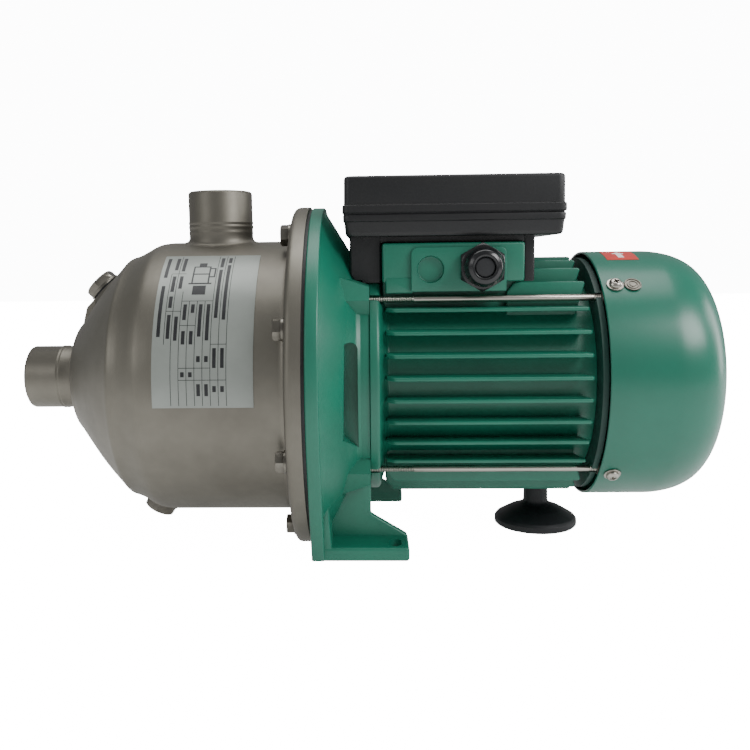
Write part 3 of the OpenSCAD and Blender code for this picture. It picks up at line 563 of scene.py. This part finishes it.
def hexHead(name, acrossFlats, height, chamfer=0.5, at=(0, 0, 0), turn=(0, 0, 0)):
    # hexagon with its corners turned down on the outer side
    deselectAll()
    r = acrossFlats / 2
    bpy.ops.mesh.primitive_cylinder_add(vertices=6, radius=r / math.cos(math.pi / 6) * mm,
                                        depth=height * mm, location=(0, 0, height / 2 * mm))
    head = bpy.context.object
    head.name = head.data.name = name
    applyMoves()
    reach = 3
    cone = spunPiece("cone", [(0, -1), (r + reach, -1), (r + reach, height - chamfer - reach / 2),
                              (r, height), (0, height), (0, -1)], 48)
    combine(head, cone, "INTERSECT")
    roundEdges(head, 0.18, 2, 25)
    return place(head, at, turn)


def makePlugs():
    for name, spot in plugs.items():
        plug = spunPiece(name + "Screw", softCorners(
            [(0, -8), (6.4, -8), (6.4, 1), (9.8, 1), (9.8, 2.6), (0, 2.6), (0, -8)],
            [0, 0.6, 0.1, 0.3, 0.4, 0, 0], 3), 64)
        combine(plug, hexHead("head", 17, 4.7, 1.0, (0, 0, 2.4)))
        place(plug, spot["at"], (0, spot["lean"], 0))
        finishPiece(plug, screwSteel, name, name)


bolts = {"count": 8, "pitchRadius": 86.5, "acrossFlats": 10, "headHeight": 4.2, "washer": 1.5}


def makeFlangeBolts():
    front, top, count = casing["frontX"], shaftZ + bolts["pitchRadius"], bolts["count"]
    bolt = hexHead("flangeBolt1", bolts["acrossFlats"], bolts["headHeight"], 0.6)
    shank = [(0, -12.5), (2.4, -12.5), (2.9, -12.0), (2.9, 0.2), (0, 0.2), (0, -12.5)]
    combine(bolt, spunPiece("shank", shank, 32))
    place(bolt, (front - bolts["washer"], 0, top), (0, -90, 0))
    washer = spunPiece("flangeWasher1", softCorners(
        [(3.2, 0), (6, 0), (6, bolts["washer"]), (3.2, bolts["washer"]), (3.2, 0)],
        [0, 0.25, 0.35, 0.2, 0], 3), 48, (front, 0, top), (0, -90, 0))
    for i in range(1, count):
        turned(copyPiece(bolt, f"flangeBolt{i + 1}"), (i + 0.5) * 360 / count)
        turned(copyPiece(washer, f"flangeWasher{i + 1}"), (i + 0.5) * 360 / count)
    turned(bolt, 180 / count)
    turned(washer, 180 / count)
    for i in range(count):
        finishPiece(bpy.data.objects[f"flangeBolt{i + 1}"], screwSteel,
                    "flange_bolts")
        finishPiece(bpy.data.objects[f"flangeWasher{i + 1}"], screwSteel,
                    "flange_washers")


# lantern with the feet

lantern = {"front": -43.8, "rim": 6.8, "radius": 96.0, "back": -12.5, "padOut": 66.5, "padIn": 41.5,
           "padHeight": 7.5, "padBack": 7.5, "webOut": 46.5, "rod": 45.5, "lugLength": 15.5,
           "lugLean": 5.0, "slotAt": 58, "slotRadius": 3.5, "slotReach": 2.25, "recessDepth": 22.5}


def lanternOutline():
    # round rim that runs straight down into the two feet; drawn as across and up
    r, out, inside = lantern["radius"], lantern["padOut"], lantern["padIn"]
    reach = math.hypot(out, shaftZ)
    tangent = math.degrees(math.acos(r / reach)) - math.degrees(math.atan2(shaftZ, out))
    rim = arcLine((0, shaftZ), r, tangent, 180 - tangent, 96)
    return rim + [(-out, 0), (-inside, 0), (-inside, 1.9), (inside, 1.9), (inside, 0), (out, 0)]


def makeLantern():
    front, back = lantern["front"], lantern["back"]
    body = platePiece("lanternCasting", lanternOutline(), lantern["rim"], (front, 0, 0),
                      (90, 0, 90))
    roundEdges(body, 1.3, 3, 40)
    cone = softCorners([(0, front + 2), (93.5, front + 2), (94.6, front + 6.2), (72.5, -24.2),
                        (66.0, -19.6), (65.0, -17.2), (65.0, back), (0, back), (0, front + 2)],
                       [0, 0.5, 2.0, 4.5, 2.5, 1.0, 0.4, 0, 0], 5)
    combine(body, shaftPiece("cone", cone, 144))
    # lugs that the tie rods screw into, each with a ridge along its outer side
    rod = lantern["rod"]
    lugLength, lean = lantern["lugLength"], lantern["lugLean"]
    lug = platePiece("lug", [(34, 33.5), (50.5, 34.5), (57.2, rod), (53, 57.5), (36, 58.5)],
                     lugLength, (back - lugLength, 0, shaftZ), (90, 0, 90))
    for vertex in lug.data.vertices:
        # the outer side falls towards the motor
        if vertex.co.z > (shaftZ + 50) * mm:
            vertex.co.z -= lean * (vertex.co.x / mm - back + lugLength) / lugLength * mm
    lugs = [lug, mirrored(lug, "lugB", 1), mirrored(lug, "lugC", 2, shaftZ)]
    lugs.append(mirrored(lugs[1], "lugD", 2, shaftZ))
    for piece in lugs:
        combine(body, piece)
    # feet: pad, web and the face that thickens towards the base
    padBack = lantern["padBack"]
    pad = blockPiece("pad", (front, lantern["padIn"], 0),
                     (padBack, lantern["padOut"], lantern["padHeight"]), 1.6, 4)
    web = platePiece("web", [(front + 1, 2), (padBack - 0.5, 2), (padBack - 0.5, 7.8),
                             (back, 19.6), (back, 48), (front + 1, 60)], 5,
                     (0, lantern["webOut"], 0), (90, 0, 0))
    roundEdges(web, 0.9, 3, 20)
    taper = platePiece("taper", [(front + 0.4, 1), (front + 11.2, 1), (front + 6.0, 72),
                                 (front + 0.4, 72)], 20.5, (0, 66.2, 0), (90, 0, 0))
    roundEdges(taper, 1.0, 3, 20)
    reach, slotRadius = lantern["slotReach"], lantern["slotRadius"]
    slot = platePiece("slot", arcLine((0, reach), slotRadius, 0, 180, 12)
                      + arcLine((0, -reach), slotRadius, 180, 360, 12), 12,
                      (0, lantern["slotAt"], -2))
    for piece in (pad, web, taper):
        combine(body, mirrored(piece, piece.name + "Far", 1))
        combine(body, piece)
    cut(body, mirrored(slot, "slotFar", 1))
    cut(body, slot)
    inside = lantern["padIn"] - 0.1
    cut(body, blockPiece("underside", (-80, -inside, -40), (40, inside, 1.9)))
    # hollow behind the seal plate, and an arched recess in each side
    hollow = [(0, front - 2), (74, front - 2), (74, front + 4), (54, -29.5), (54, -17), (25, -17),
              (25, -30), (12, -30), (12, -25), (20, -25), (20, 0), (0, 0), (0, front - 2)]
    cut(body, shaftPiece("hollow", hollow, 96))
    recess = platePiece("recess", [(-26.2, -24.5), (-18.6, -31)]
                        + arcLine((-23.0, 20.6), 4.4, 10, 122, 8), lantern["recessDepth"],
                        (0, 80, shaftZ), (90, 0, 0))
    for piece in (recess, mirrored(recess, "recessFar", 1)):
        cut(body, piece)
    finishPiece(body, castEnamel, "lantern", smooth=30)


# motor housing

motor = {"front": -12.4, "back": 105, "barrel": 55, "collar": 66.0, "core": 50, "finReach": 66.4,
         "finPitch": 11.4, "finWidth": 2.5, "finFrom": -4, "finTo": 101, "topFrom": 60,
         "topReach": 67, "panelFace": 48, "panel": [(9.4, 139.5), (58.8, 139.5), (58.8, 162.4),
                                                    (9.4, 162.4)],
         "blankAt": (19.5, -45.2, 151), "footX": 85}


def makeFin(offset, reach, start, end):
    # one cooling fin in the side view, thinner at its tip, with slanted ends
    top = math.sqrt(reach ** 2 - offset ** 2)
    root = math.sqrt(max(motor["barrel"] ** 2 - offset ** 2, 0)) - 6
    outline = [(start, root), (start, top - 5.5), (start + 3.5, top - 0.8), (start + 5, top),
               (end - 1, top), (end, top - 1), (end - 4.5, root + 5), (end - 5, root)]
    fin = platePiece("fin", outline, motor["finWidth"], (0, motor["finWidth"] / 2, 0), (90, 0, 0))
    for vertex in fin.data.vertices:
        share = (vertex.co.z / mm - root) / (top - root)
        vertex.co.y *= 1.12 - 0.34 * share
    roundEdges(fin, 0.6, 3, 35)
    for vertex in fin.data.vertices:
        vertex.co.y += offset * mm
        vertex.co.z += shaftZ * mm
    return fin


def makeMotorHousing():
    front, back = motor["front"], motor["back"]
    barrel, collar, core = motor["barrel"], motor["collar"], motor["core"]
    profile = softCorners([(core, front), (collar, front), (collar, -7.4), (58, -5.0),
                           (barrel, -2.8), (barrel, back), (core, back), (core, front)],
                          [0, 0.4, 2.4, 2.5, 2, 0.6, 0.4, 0], 5)
    body = shaftPiece("motorHousing", profile, 144)
    offsets = [(i - 3.5) * motor["finPitch"] for i in range(8)]
    for offset in offsets:
        upper = makeFin(offset, motor["topReach"], motor["topFrom"], motor["finTo"])
        lower = makeFin(offset, motor["topReach"], motor["finFrom"], motor["finTo"])
        side = makeFin(offset, motor["finReach"], motor["finFrom"], motor["finTo"])
        turned(lower, 180)
        turned(side, -90)
        combine(body, upper)
        combine(body, lower)
        combine(body, mirrored(side, "sideFar", 1))
        combine(body, side)
    print("motor fins made")
    block = blockPiece("block", (-5.6, -46, 144.3), (68.5, 46, 164.8), 1.3, 3)
    lowerBlock = blockPiece("lowerBlock", (-5.4, -38, 118), (68.3, 38, 150), 1.0, 3)
    combine(block, lowerBlock)
    combine(block, blockPiece("ledge", (-4, -46.4, 138.6), (10.4, 46.4, 147), 0.9, 3))
    depth = 12
    panel = platePiece("panel", closedSoft(motor["panel"], [0.5, 0.5, 4, 4], 5), depth,
                       (0, depth - motor["panelFace"], 0), (90, 0, 0))
    roundEdges(panel, 0.7, 3, 50)
    combine(block, panel)
    cut(block, drill("bore", barrel - 1, -1, 80, 96, (-8, 0, shaftZ), (0, 90, 0)))
    blank = softCorners([(0, 0), (6.6, 0), (7.1, 1.7), (7.1, 6), (0, 6), (0, 0)],
                        [0, 0.5, 0, 0, 0, 0], 3)
    cut(block, spunPiece("blank", blank, 48, motor["blankAt"], (90, 0, 0)))
    combine(body, block)
    boss = spunPiece("boss", softCorners([(4, 0), (9.4, 0), (9.0, 14), (4, 14), (4, 0)],
                                         [0, 0.8, 0, 0, 0], 3), 40, (motor["footX"], 0, 23.4))
    combine(body, boss)
    rod = lantern["rod"]
    for y in (-rod, rod):
        for z in (-rod, rod):
            cut(body, drill("channel", 2.4, -16, 110, 24, (0, y, shaftZ + z), (0, 90, 0)))
    finishPiece(body, castEnamel, "stator_housing", smooth=30)


# drawn rod with a rolled thread at the lantern end and at the nut
rods = {"radius": 1.8, "pitch": 0.9, "front": -24, "threadEnd": 10, "plainEnd": 104,
        "end": 111.5, "nutX": 108, "nutFlats": 6.6, "nutHeight": 3}


def makeTieRods():
    radius, pitch, end = rods["radius"], rods["pitch"], rods["end"]
    profile = [(0, rods["front"]), (1.5, rods["front"])]
    level = rods["front"] + 0.5
    while level < rods["threadEnd"]:
        profile += [(radius - 0.1, level), (radius - 0.4, level + pitch / 2)]
        level += pitch
    profile += [(radius - 0.1, level), (radius, level + 0.3), (radius, rods["plainEnd"])]
    level = rods["plainEnd"] + 0.5
    while level < end - 1:
        profile += [(radius - 0.28, level), (radius, level + pitch / 2)]
        level += pitch
    profile += [(1.4, end), (0, end)]
    rod = spunPiece("tieRod1", profile, 24, (0, 0, 0), (0, 90, 0))
    nut = hexHead("tieRodNut1", rods["nutFlats"], rods["nutHeight"], 0.3)
    cut(nut, drill("hole", radius + 0.05, -1, 4, 24))
    place(nut, (rods["nutX"], 0, 0), (0, 90, 0))
    number, out = 1, lantern["rod"]
    for y in (-out, out):
        for z in (shaftZ + out, shaftZ - out):
            rodCopy = copyPiece(rod, f"tieRod{number + 1}")
            nutCopy = copyPiece(nut, f"tieRodNut{number + 1}")
            place(rodCopy, (0, y, z))
            place(nutCopy, (0, y, z))
            finishPiece(rodCopy, drawnZinc, "tie_rods", smooth=50)
            finishPiece(nutCopy, screwSteel, "tie_rod_nuts")
            number += 1
    for piece in (rod, nut):
        bpy.data.objects.remove(piece)


# fan end

cover = {"radius": 69.4, "wall": 1.2, "front": 108, "screws": (42, 133, 227, 318),
         "screwX": 115, "discX": 124, "discAngle": 42, "slots": 20,
         "curve": [(69.4, 141), (69.2, 145.5), (68.3, 151.5), (66.6, 157.6), (63.7, 163.4),
                   (60, 167.6), (55.5, 170.6), (49.5, 172.6), (42, 173.6), (30, 174.4),
                   (15, 174.8), (0, 175)]}


def makeFanCover():
    outer, wall, front = cover["radius"], cover["wall"], cover["front"]
    inner = outer - wall
    profile = [(inner, front + 0.3), (inner + 0.35, front), (outer - 0.35, front),
               (outer, front + 0.4)]
    curve = smoothLine(cover["curve"], 4)
    profile += curve + [(max(r - wall, 0), x - wall) for r, x in reversed(curve)]
    shell = shaftPiece("fanCover", profile + [profile[0]], 144)
    slotShape = closedSoft([(17, -1.7), (41, -1.7), (41, 1.7), (17, 1.7)], 1.6, 4)
    slots, count = [], cover["slots"]
    for i in range(count):
        slot = platePiece(f"slot{i}", slotShape, 50, (145, 0, shaftZ), (0, 90, 0))
        turned(slot, i * 360 / count)
        slots.append(slot)
    cut(shell, joinPieces(*slots))
    finishPiece(shell, sheetEnamel, "fan_cover", smooth=35)


def makeCoverScrews():
    washer = spunPiece("washer", softCorners([(1.8, 0), (4.4, 0), (4.4, 0.9), (1.8, 1.0), (1.8, 0)],
                                             [0, 0.2, 0.25, 0.2, 0], 3), 48)
    head = spunPiece("coverScrew1", softCorners(
        [(0, -9), (1.6, -9), (1.6, 0.9), (3.3, 0.9), (3.4, 1.9), (2.2, 3.1), (0, 3.3), (0, -9)],
        [0, 0.2, 0, 0.2, 0.9, 1.2, 0, 0], 4), 48)
    for angle in (0, 90):
        wing = blockPiece("wing", (-2.1, -0.5, 1.4), (2.1, 0.5, 5))
        for vertex in wing.data.vertices:
            if vertex.co.z < 3 * mm:
                vertex.co.x *= 0.5
        cut(head, place(wing, turn=(0, 0, angle + 20)))
    head = joinPieces(head, washer)
    outside = shaftZ + cover["radius"] + 0.02
    place(head, (cover["screwX"], 0, outside))
    for i, angle in enumerate(cover["screws"]):
        screw = copyPiece(head, f"coverScrew{i + 2}")
        turned(screw, angle)
        finishPiece(screw, drawnZinc, "cover_screws")
    bpy.data.objects.remove(head)
    # plain disc with two turned rings
    disc = spunPiece("coverDisc", [(0, 0), (4.2, 0), (4.4, 0.2), (4.4, 0.7), (4.2, 0.9), (3.8, 0.9),
                                   (3.6, 0.45), (3.1, 0.45), (2.9, 0.9), (2.3, 0.9), (2.1, 0.5),
                                   (1.7, 0.5), (1.5, 0.9), (0, 0.9)], 64,
                     (cover["discX"], 0, outside))
    turned(disc, cover["discAngle"])
    finishPiece(disc, screwSteel, "cover_badge")


def makeRubberFoot():
    profile = [(0, 0.4), (20, 0.4), (20.6, 0), (23.0, 0)]
    profile += softCorners([(23.0, 0), (23.8, 0.8), (23.8, 3.6), (22.6, 5.2), (15.5, 9.4),
                            (9.0, 12.0), (7.1, 13.6), (6.9, 23.3)],
                           [0, 0.4, 0.9, 1.6, 6, 4, 3, 0], 5)[1:]
    profile += [(0, 23.3)]
    foot = spunPiece("rubberFoot", profile, 96, (motor["footX"], 0, 0))
    finishPiece(foot, footRubber, "rubber_foot", smooth=40)


# terminal box

# levels are height and how far the side lies inside the nominal box
box = {"x": (-25.5, 88.7), "half": 50, "wall": 2.4, "corner": 4.0, "neckX": (-22.7, 74.8),
       "neckHalf": 40, "screwIn": 6.6,
       "base": [(168.3, 2.2), (168.5, 1.6), (169.3, 1.0), (170.6, 0.8), (175.7, 0.3),
                (175.9, 0.0), (176.2, -0.25), (178.9, -0.35), (179.3, -0.2), (179.5, 0.1)],
       "lid": [(180.3, -0.4), (180.6, -0.7), (184.0, -0.6), (184.4, -0.3), (184.5, 0.0),
               (184.7, 0.2), (197.5, 0.35), (198.3, 0.55), (198.9, 1.0), (199.2, 1.5),
               (199.3, 2.2)]}


def loftBox(name, x, half, levels, corner, steps=6):
    # rounded rectangle carried through levels of height and inset
    low, high = x
    middle = (low + high) / 2
    outline = closedSoft([(low - middle, -half), (high - middle, -half), (high - middle, half),
                          (low - middle, half)], corner, steps)
    piece = startPiece(name)
    level, inset = levels[0]
    runLine([(u, v, level) for u, v in outline], closed=True)
    reach = (high - low) / 2
    bpy.ops.transform.resize(value=((reach - inset) / reach, (half - inset) / half, 1),
                             center_override=(0, 0, level * mm))
    for nextLevel, nextInset in levels[1:]:
        rise = (0, 0, (nextLevel - level) * mm)
        bpy.ops.mesh.extrude_region_move(TRANSFORM_OT_translate={"value": rise})
        bpy.ops.transform.resize(value=((reach - nextInset) / (reach - inset),
                                        (half - nextInset) / (half - inset), 1),
                                 center_override=(0, 0, nextLevel * mm))
        level, inset = nextLevel, nextInset
    tidyMesh(piece)
    return place(piece, (middle, 0, 0))


def makeTerminalBox():
    x, half, wall, neckHalf = box["x"], box["half"], box["wall"], box["neckHalf"]
    base = loftBox("terminalBoxBase", x, half, box["base"], box["corner"])
    neckX = box["neckX"]
    for low, high in ((neckX[0], -5.8), (68.7, neckX[1])):
        cheek = blockPiece("cheek", (low, -neckHalf, 128), (high, neckHalf, 170), 1.4, 4)
        combine(base, cheek)
    combine(base, blockPiece("saddle", (neckX[0] + 0.3, 0.4 - neckHalf, 165),
                             (neckX[1] - 0.3, neckHalf - 0.4, 170), 0.6, 2))
    cut(base, drill("round", 67.4, -18, 90, 128, (0, 0, shaftZ), (0, 90, 0)))
    cut(base, shaftPiece("coneRoom", [(0, -44), (100, -44), (99, -40), (73.6, -24.2), (68.6, -19.8),
                                      (68.6, -16), (0, -16), (0, -44)], 128))
    inner = (x[0] + wall, x[1] - wall)
    cut(base, loftBox("room", inner, half - wall, [(171, 0), (182, 0)], 3))
    finishPiece(base, texturedAbs, "terminal_box_base", smooth=30)
    lid = loftBox("terminalBoxLid", x, half, box["lid"], box["corner"])
    cut(lid, loftBox("lidRoom", inner, half - wall, [(179, 0), (196.6, 0.6)], 3))
    across = half - box["screwIn"]
    for corner in (x[0] + box["screwIn"], x[1] - box["screwIn"]):
        for side in (-across, across):
            cut(lid, spunPiece("screwHole", [(0, -1), (3.9, -1), (4.0, 8), (0, 8), (0, -1)], 32,
                               (corner, side, 196.3)))
            combine(lid, drill("post", 4.4, 0, 16, 32, (corner, side, 180.4)))
    finishPiece(lid, texturedAbs, "terminal_box_lid", smooth=30)


# cable gland in the motor's panel, facing the near side
gland = {"at": (46.1, -48, 151.9), "turn": (90, 0, 0), "acrossFlats": 22.2, "grips": 12}


def makeGland():
    spot, turn = gland["at"], gland["turn"]
    body = hexHead("glandBody", gland["acrossFlats"], 4.2, 1.0)
    combine(body, drill("neck", 8, -8, 9.6, 48))
    cut(body, drill("bore", 6.6, -9, 11, 48))
    place(body, spot, turn)
    finishPiece(body, glossNylon, "gland_body")
    nut = softCorners([(8.2, 4.4), (9.7, 4.4), (10.1, 5.0), (10.1, 9.6), (8.7, 13.2), (6.6, 14.4),
                       (5.4, 14.2), (5.0, 12.6), (5.0, 12.2), (8.2, 11.5), (8.2, 4.4)],
                      [0, 0.3, 0.5, 2.0, 2.2, 1.0, 0.7, 0.2, 0, 0, 0], 5)
    piece = spunPiece("glandNut", nut, 96)
    grip = drill("grip", 1.1, -1, 6, 16, (10.9, 0, 4.5))
    for i in range(gland["grips"]):
        notch = copyPiece(grip, "notch")
        place(notch, turn=(0, 0, 360 / gland["grips"] * i + 12))
        cut(piece, notch)
    bpy.data.objects.remove(grip)
    place(piece, spot, turn)
    finishPiece(piece, glossNylon, "gland_nut", smooth=38)
    plug = softCorners([(0, 4), (6.4, 4), (6.4, 9.5), (4.95, 10.5), (4.95, 13.0), (0, 13.0),
                        (0, 4)], [0, 0, 0, 0, 0.6, 0, 0], 4)
    seal = spunPiece("glandSeal", plug, 48, spot, turn)
    finishPiece(seal, footRubber, "gland_seal", smooth=40)


# label and sticker

label = {"x": (-121.5, -70.5), "angles": (26.6, 94.4), "radius": 77.66, "thick": 0.12}


def bent(piece, radius, startAngle):
    # wraps a flat piece round the shaft: x is the arc length down the near side, y the place
    for vertex in piece.data.vertices:
        u, v, w = vertex.co / mm
        angle = math.radians(startAngle) + u / radius
        vertex.co = Vector((v, -(radius + w) * math.sin(angle),
                            shaftZ + (radius + w) * math.cos(angle))) * mm
    tidyMesh(piece)
    return piece


def flatPatch(u0, u1, v0, v1):
    # one rectangle, cut finely enough along the arc to bend
    cuts = max(int(abs(u1 - u0) / 1.5), 1)
    bpy.ops.mesh.primitive_grid_add(x_subdivisions=cuts, y_subdivisions=1, size=mm,
                                    location=(0, 0, 0))
    bpy.ops.transform.resize(value=(abs(u1 - u0), abs(v1 - v0), 1), center_override=(0, 0, 0))
    bpy.ops.transform.translate(value=((u0 + u1) / 2 * mm, (v0 + v1) / 2 * mm, 0))


def patchPiece(name, rectangles, thick):
    deselectAll()
    bpy.ops.mesh.primitive_grid_add(x_subdivisions=1, y_subdivisions=1, size=mm)
    piece = bpy.context.object
    piece.name = piece.data.name = name
    bpy.ops.object.mode_set(mode="EDIT")
    bpy.ops.mesh.select_all(action="SELECT")
    bpy.ops.mesh.delete(type="VERT")
    for rectangle in rectangles:
        bpy.ops.mesh.select_all(action="DESELECT")
        flatPatch(*rectangle)
    objectMode()
    useModifier(piece, "SOLIDIFY", thickness=thick * mm, offset=1)
    return piece


def makeLabel():
    x0, x1 = label["x"]
    length = math.radians(label["angles"][1] - label["angles"][0]) * label["radius"]
    sheet = patchPiece("typeLabel", [(0, length, x0, x1)], label["thick"])
    bent(sheet, label["radius"], label["angles"][0])
    finishPiece(sheet, labelFilm, "type_label", smooth=40)
    line, rows = 0.28, []
    # long rules along the arc
    for v, start, end in ((-115.6, 17, 60), (-112.0, 1, 91), (-108.0, 30, 91), (-104.0, 36, 91),
                          (-100.0, 36, 91), (-96.0, 36, 91), (-92.0, 1, 91), (-88.0, 1, 91),
                          (-84.0, 1, 91)):
        rows.append((start, end, v - line / 2, v + line / 2))
    # short rules across
    for u, start, end in ((17, -115.6, -108), (42, -115.6, -108), (36, -108, -92), (50, -108, -100),
                          (72, -108, -92), (60, -92, -84), (78, -108, -84)):
        rows.append((u - line / 2, u + line / 2, start, end))
    # grey bars stand where lines of print would be
    for v, spans in {-118.6: ((3, 20), (26, 56)), -113.8: ((3, 14), (19, 30), (33, 40), (44, 57)),
                     -110.0: ((3, 15), (19, 28), (45, 58)),
                     -106.0: ((38, 47), (53, 60), (74, 76.5)),
                     -102.0: ((38, 43), (53, 60), (74, 76.5)),
                     -98.0: ((38, 56), (66, 69), (80, 86)),
                     -94.0: ((38, 58), (66, 69), (80, 86)),
                     -90.0: ((3, 12), (14, 46), (62, 72), (81, 84)),
                     -86.0: ((3, 8), (10, 47), (62, 72), (81, 84))}.items():
        for start, end in spans:
            rows.append((start, end, v - 0.9, v + 0.9))
    # a plain sketch: a box, a barrel and a foot line
    for u0, u1, v0, v1 in ((8, 11, -102, -98), (11, 24, -104.6, -103.8), (11, 24, -96.2, -95.4),
                           (11, 11.8, -104.6, -95.4), (17, 17.8, -104.6, -95.4),
                           (24, 25, -106, -94), (26, 32, -103.4, -96.6),
                           (12.5, 20, -93.4, -92.6), (12.5, 13.3, -95.4, -92.8),
                           (19.2, 20, -95.4, -92.8)):
        rows.append((u0, u1, v0, v1))
    ink = patchPiece("typeLabelPrint", rows, 0.03)
    bent(ink, label["radius"] + label["thick"] + 0.005, label["angles"][0])
    finishPiece(ink, labelInk, "type_label", smooth=40)
    # red sticker with a plain arrow that shows which way the shaft turns
    radius = cover["radius"] + 0.02
    sticker = patchPiece("turnSticker", [(-9, 9, 116.5, 133.5)], 0.1)
    bent(sticker, radius, math.degrees(17 / radius))
    finishPiece(sticker, redFilm, "direction_arrow", smooth=40)
    arrow = patchPiece("turnArrow", [(-1.6, 5.5, 123.4, 126.6), (-3.1, -1.6, 121.9, 128.1),
                                     (-4.4, -3.1, 123.2, 126.8), (-5.6, -4.4, 124.3, 125.7)], 0.03)
    bent(arrow, radius + 0.105, math.degrees(17 / radius))
    finishPiece(arrow, whiteInk, "direction_arrow", smooth=40)


makeCasing()
makeSockets()
makePlugs()
makeFlangeBolts()
print("pump casing made")
makeLantern()
print("lantern made")
makeMotorHousing()
makeTieRods()
print("motor made")
makeFanCover()
makeCoverScrews()
makeRubberFoot()
print("fan end made")
makeTerminalBox()
makeGland()
print("terminal box made")
makeLabel()
print("label made")


# parts that keep their CAD shape

# pressed and machined parts inside, each with the finish it would have
pressedSteel = surfaceFinish("pressedSteel", "#b4b2ab", "#a3a19a", (0.28, 0.4), metallic=1,
                             blotch=25, grain=0.7, grainDepth=0.01)
turnedSteel = surfaceFinish("turnedSteel", "#c2c0ba", "#aeaca6", (0.2, 0.3), metallic=1, blotch=18,
                            grain=0.4, grainDepth=0.012, streaks=(4, 0.3, 0.3))
sheetLaminations = surfaceFinish("sheetLaminations", "#6d6e70", "#5d5e60", (0.4, 0.55), metallic=1,
                                 blotch=9, grain=0.5, grainDepth=0.05, streaks=(6, 0.2, 0.2))
castAluminium = surfaceFinish("castAluminium", "#c4c6c8", "#b2b4b6", (0.35, 0.5), metallic=1,
                              blotch=12, grain=0.9, grainDepth=0.04)
enamelledCopper = surfaceFinish("enamelledCopper", "#b0602a", "#8f481c", (0.25, 0.38), metallic=0.7,
                                blotch=5, grain=0.8, grainDepth=0.15, streaks=(0.3, 1, 1))
sealCarbon = surfaceFinish("sealCarbon", "#26272a", "#1d1e20", (0.3, 0.42), blotch=8, grain=0.3,
                           grainDepth=0.006)
sealCeramic = surfaceFinish("sealCeramic", "#e6e0d2", "#dcd5c4", (0.16, 0.24), blotch=10, grain=0.4,
                            grainDepth=0.004)
phenolic = surfaceFinish("phenolic", "#d8cfb8", "#cbc1a8", (0.38, 0.5), blotch=12, grain=0.5,
                         grainDepth=0.01)
capacitorCase = surfaceFinish("capacitorCase", "#dcdcd8", "#d2d2cd", (0.3, 0.4), blotch=20,
                              grain=0.6, grainDepth=0.01)
fanPlastic = surfaceFinish("fanPlastic", "#1c1f22", "#26292c", (0.4, 0.55), blotch=18, grain=0.8,
                           grainDepth=0.02)
plateSteel = surfaceFinish("plateSteel", "#3a3c3d", "#2d2f30", (0.4, 0.55), metallic=0.6, blotch=16,
                           grain=0.6, grainDepth=0.02)

keptNodes = {
    pressedSteel: ["inlet_housing", "stage_housing_1", "stage_housing_2", "diffuser_1",
                   "diffuser_2", "clamp_ring", "impeller_1", "impeller_2", "impeller_spacer",
                   "wave_washer"],
    turnedSteel: ["impeller_nut", "motor_shaft", "front_bearing_outer", "front_bearing_inner",
                  "front_bearing_balls", "rear_bearing_outer", "rear_bearing_inner",
                  "rear_bearing_balls", "seal_spring"],
    screwSteel: ["lid_screws", "foot_stud"],
    sheetLaminations: ["rotor_core", "stator_core"],
    castAluminium: ["rotor_end_rings"],
    enamelledCopper: ["stator_winding"],
    sealCarbon: ["seal_head"],
    sealCeramic: ["seal_seat"],
    phenolic: ["terminal_block"],
    capacitorCase: ["capacitor"],
    fanPlastic: ["fan"],
    plateSteel: ["seal_plate"],
    footRubber: ["fill_plug_oring", "drain_plug_oring", "casing_oring", "splash_ring",
                 "box_gasket"],
    # the end shield gets the enamel darkened with painted shade
    paintedShadeEnamel: ["rear_shield"],
}
for material, names in keptNodes.items():
    for name in names:
        node = frame["nodes"][name]
        node.data.materials.clear()
        node.data.materials.append(material)
print("kept parts finished")
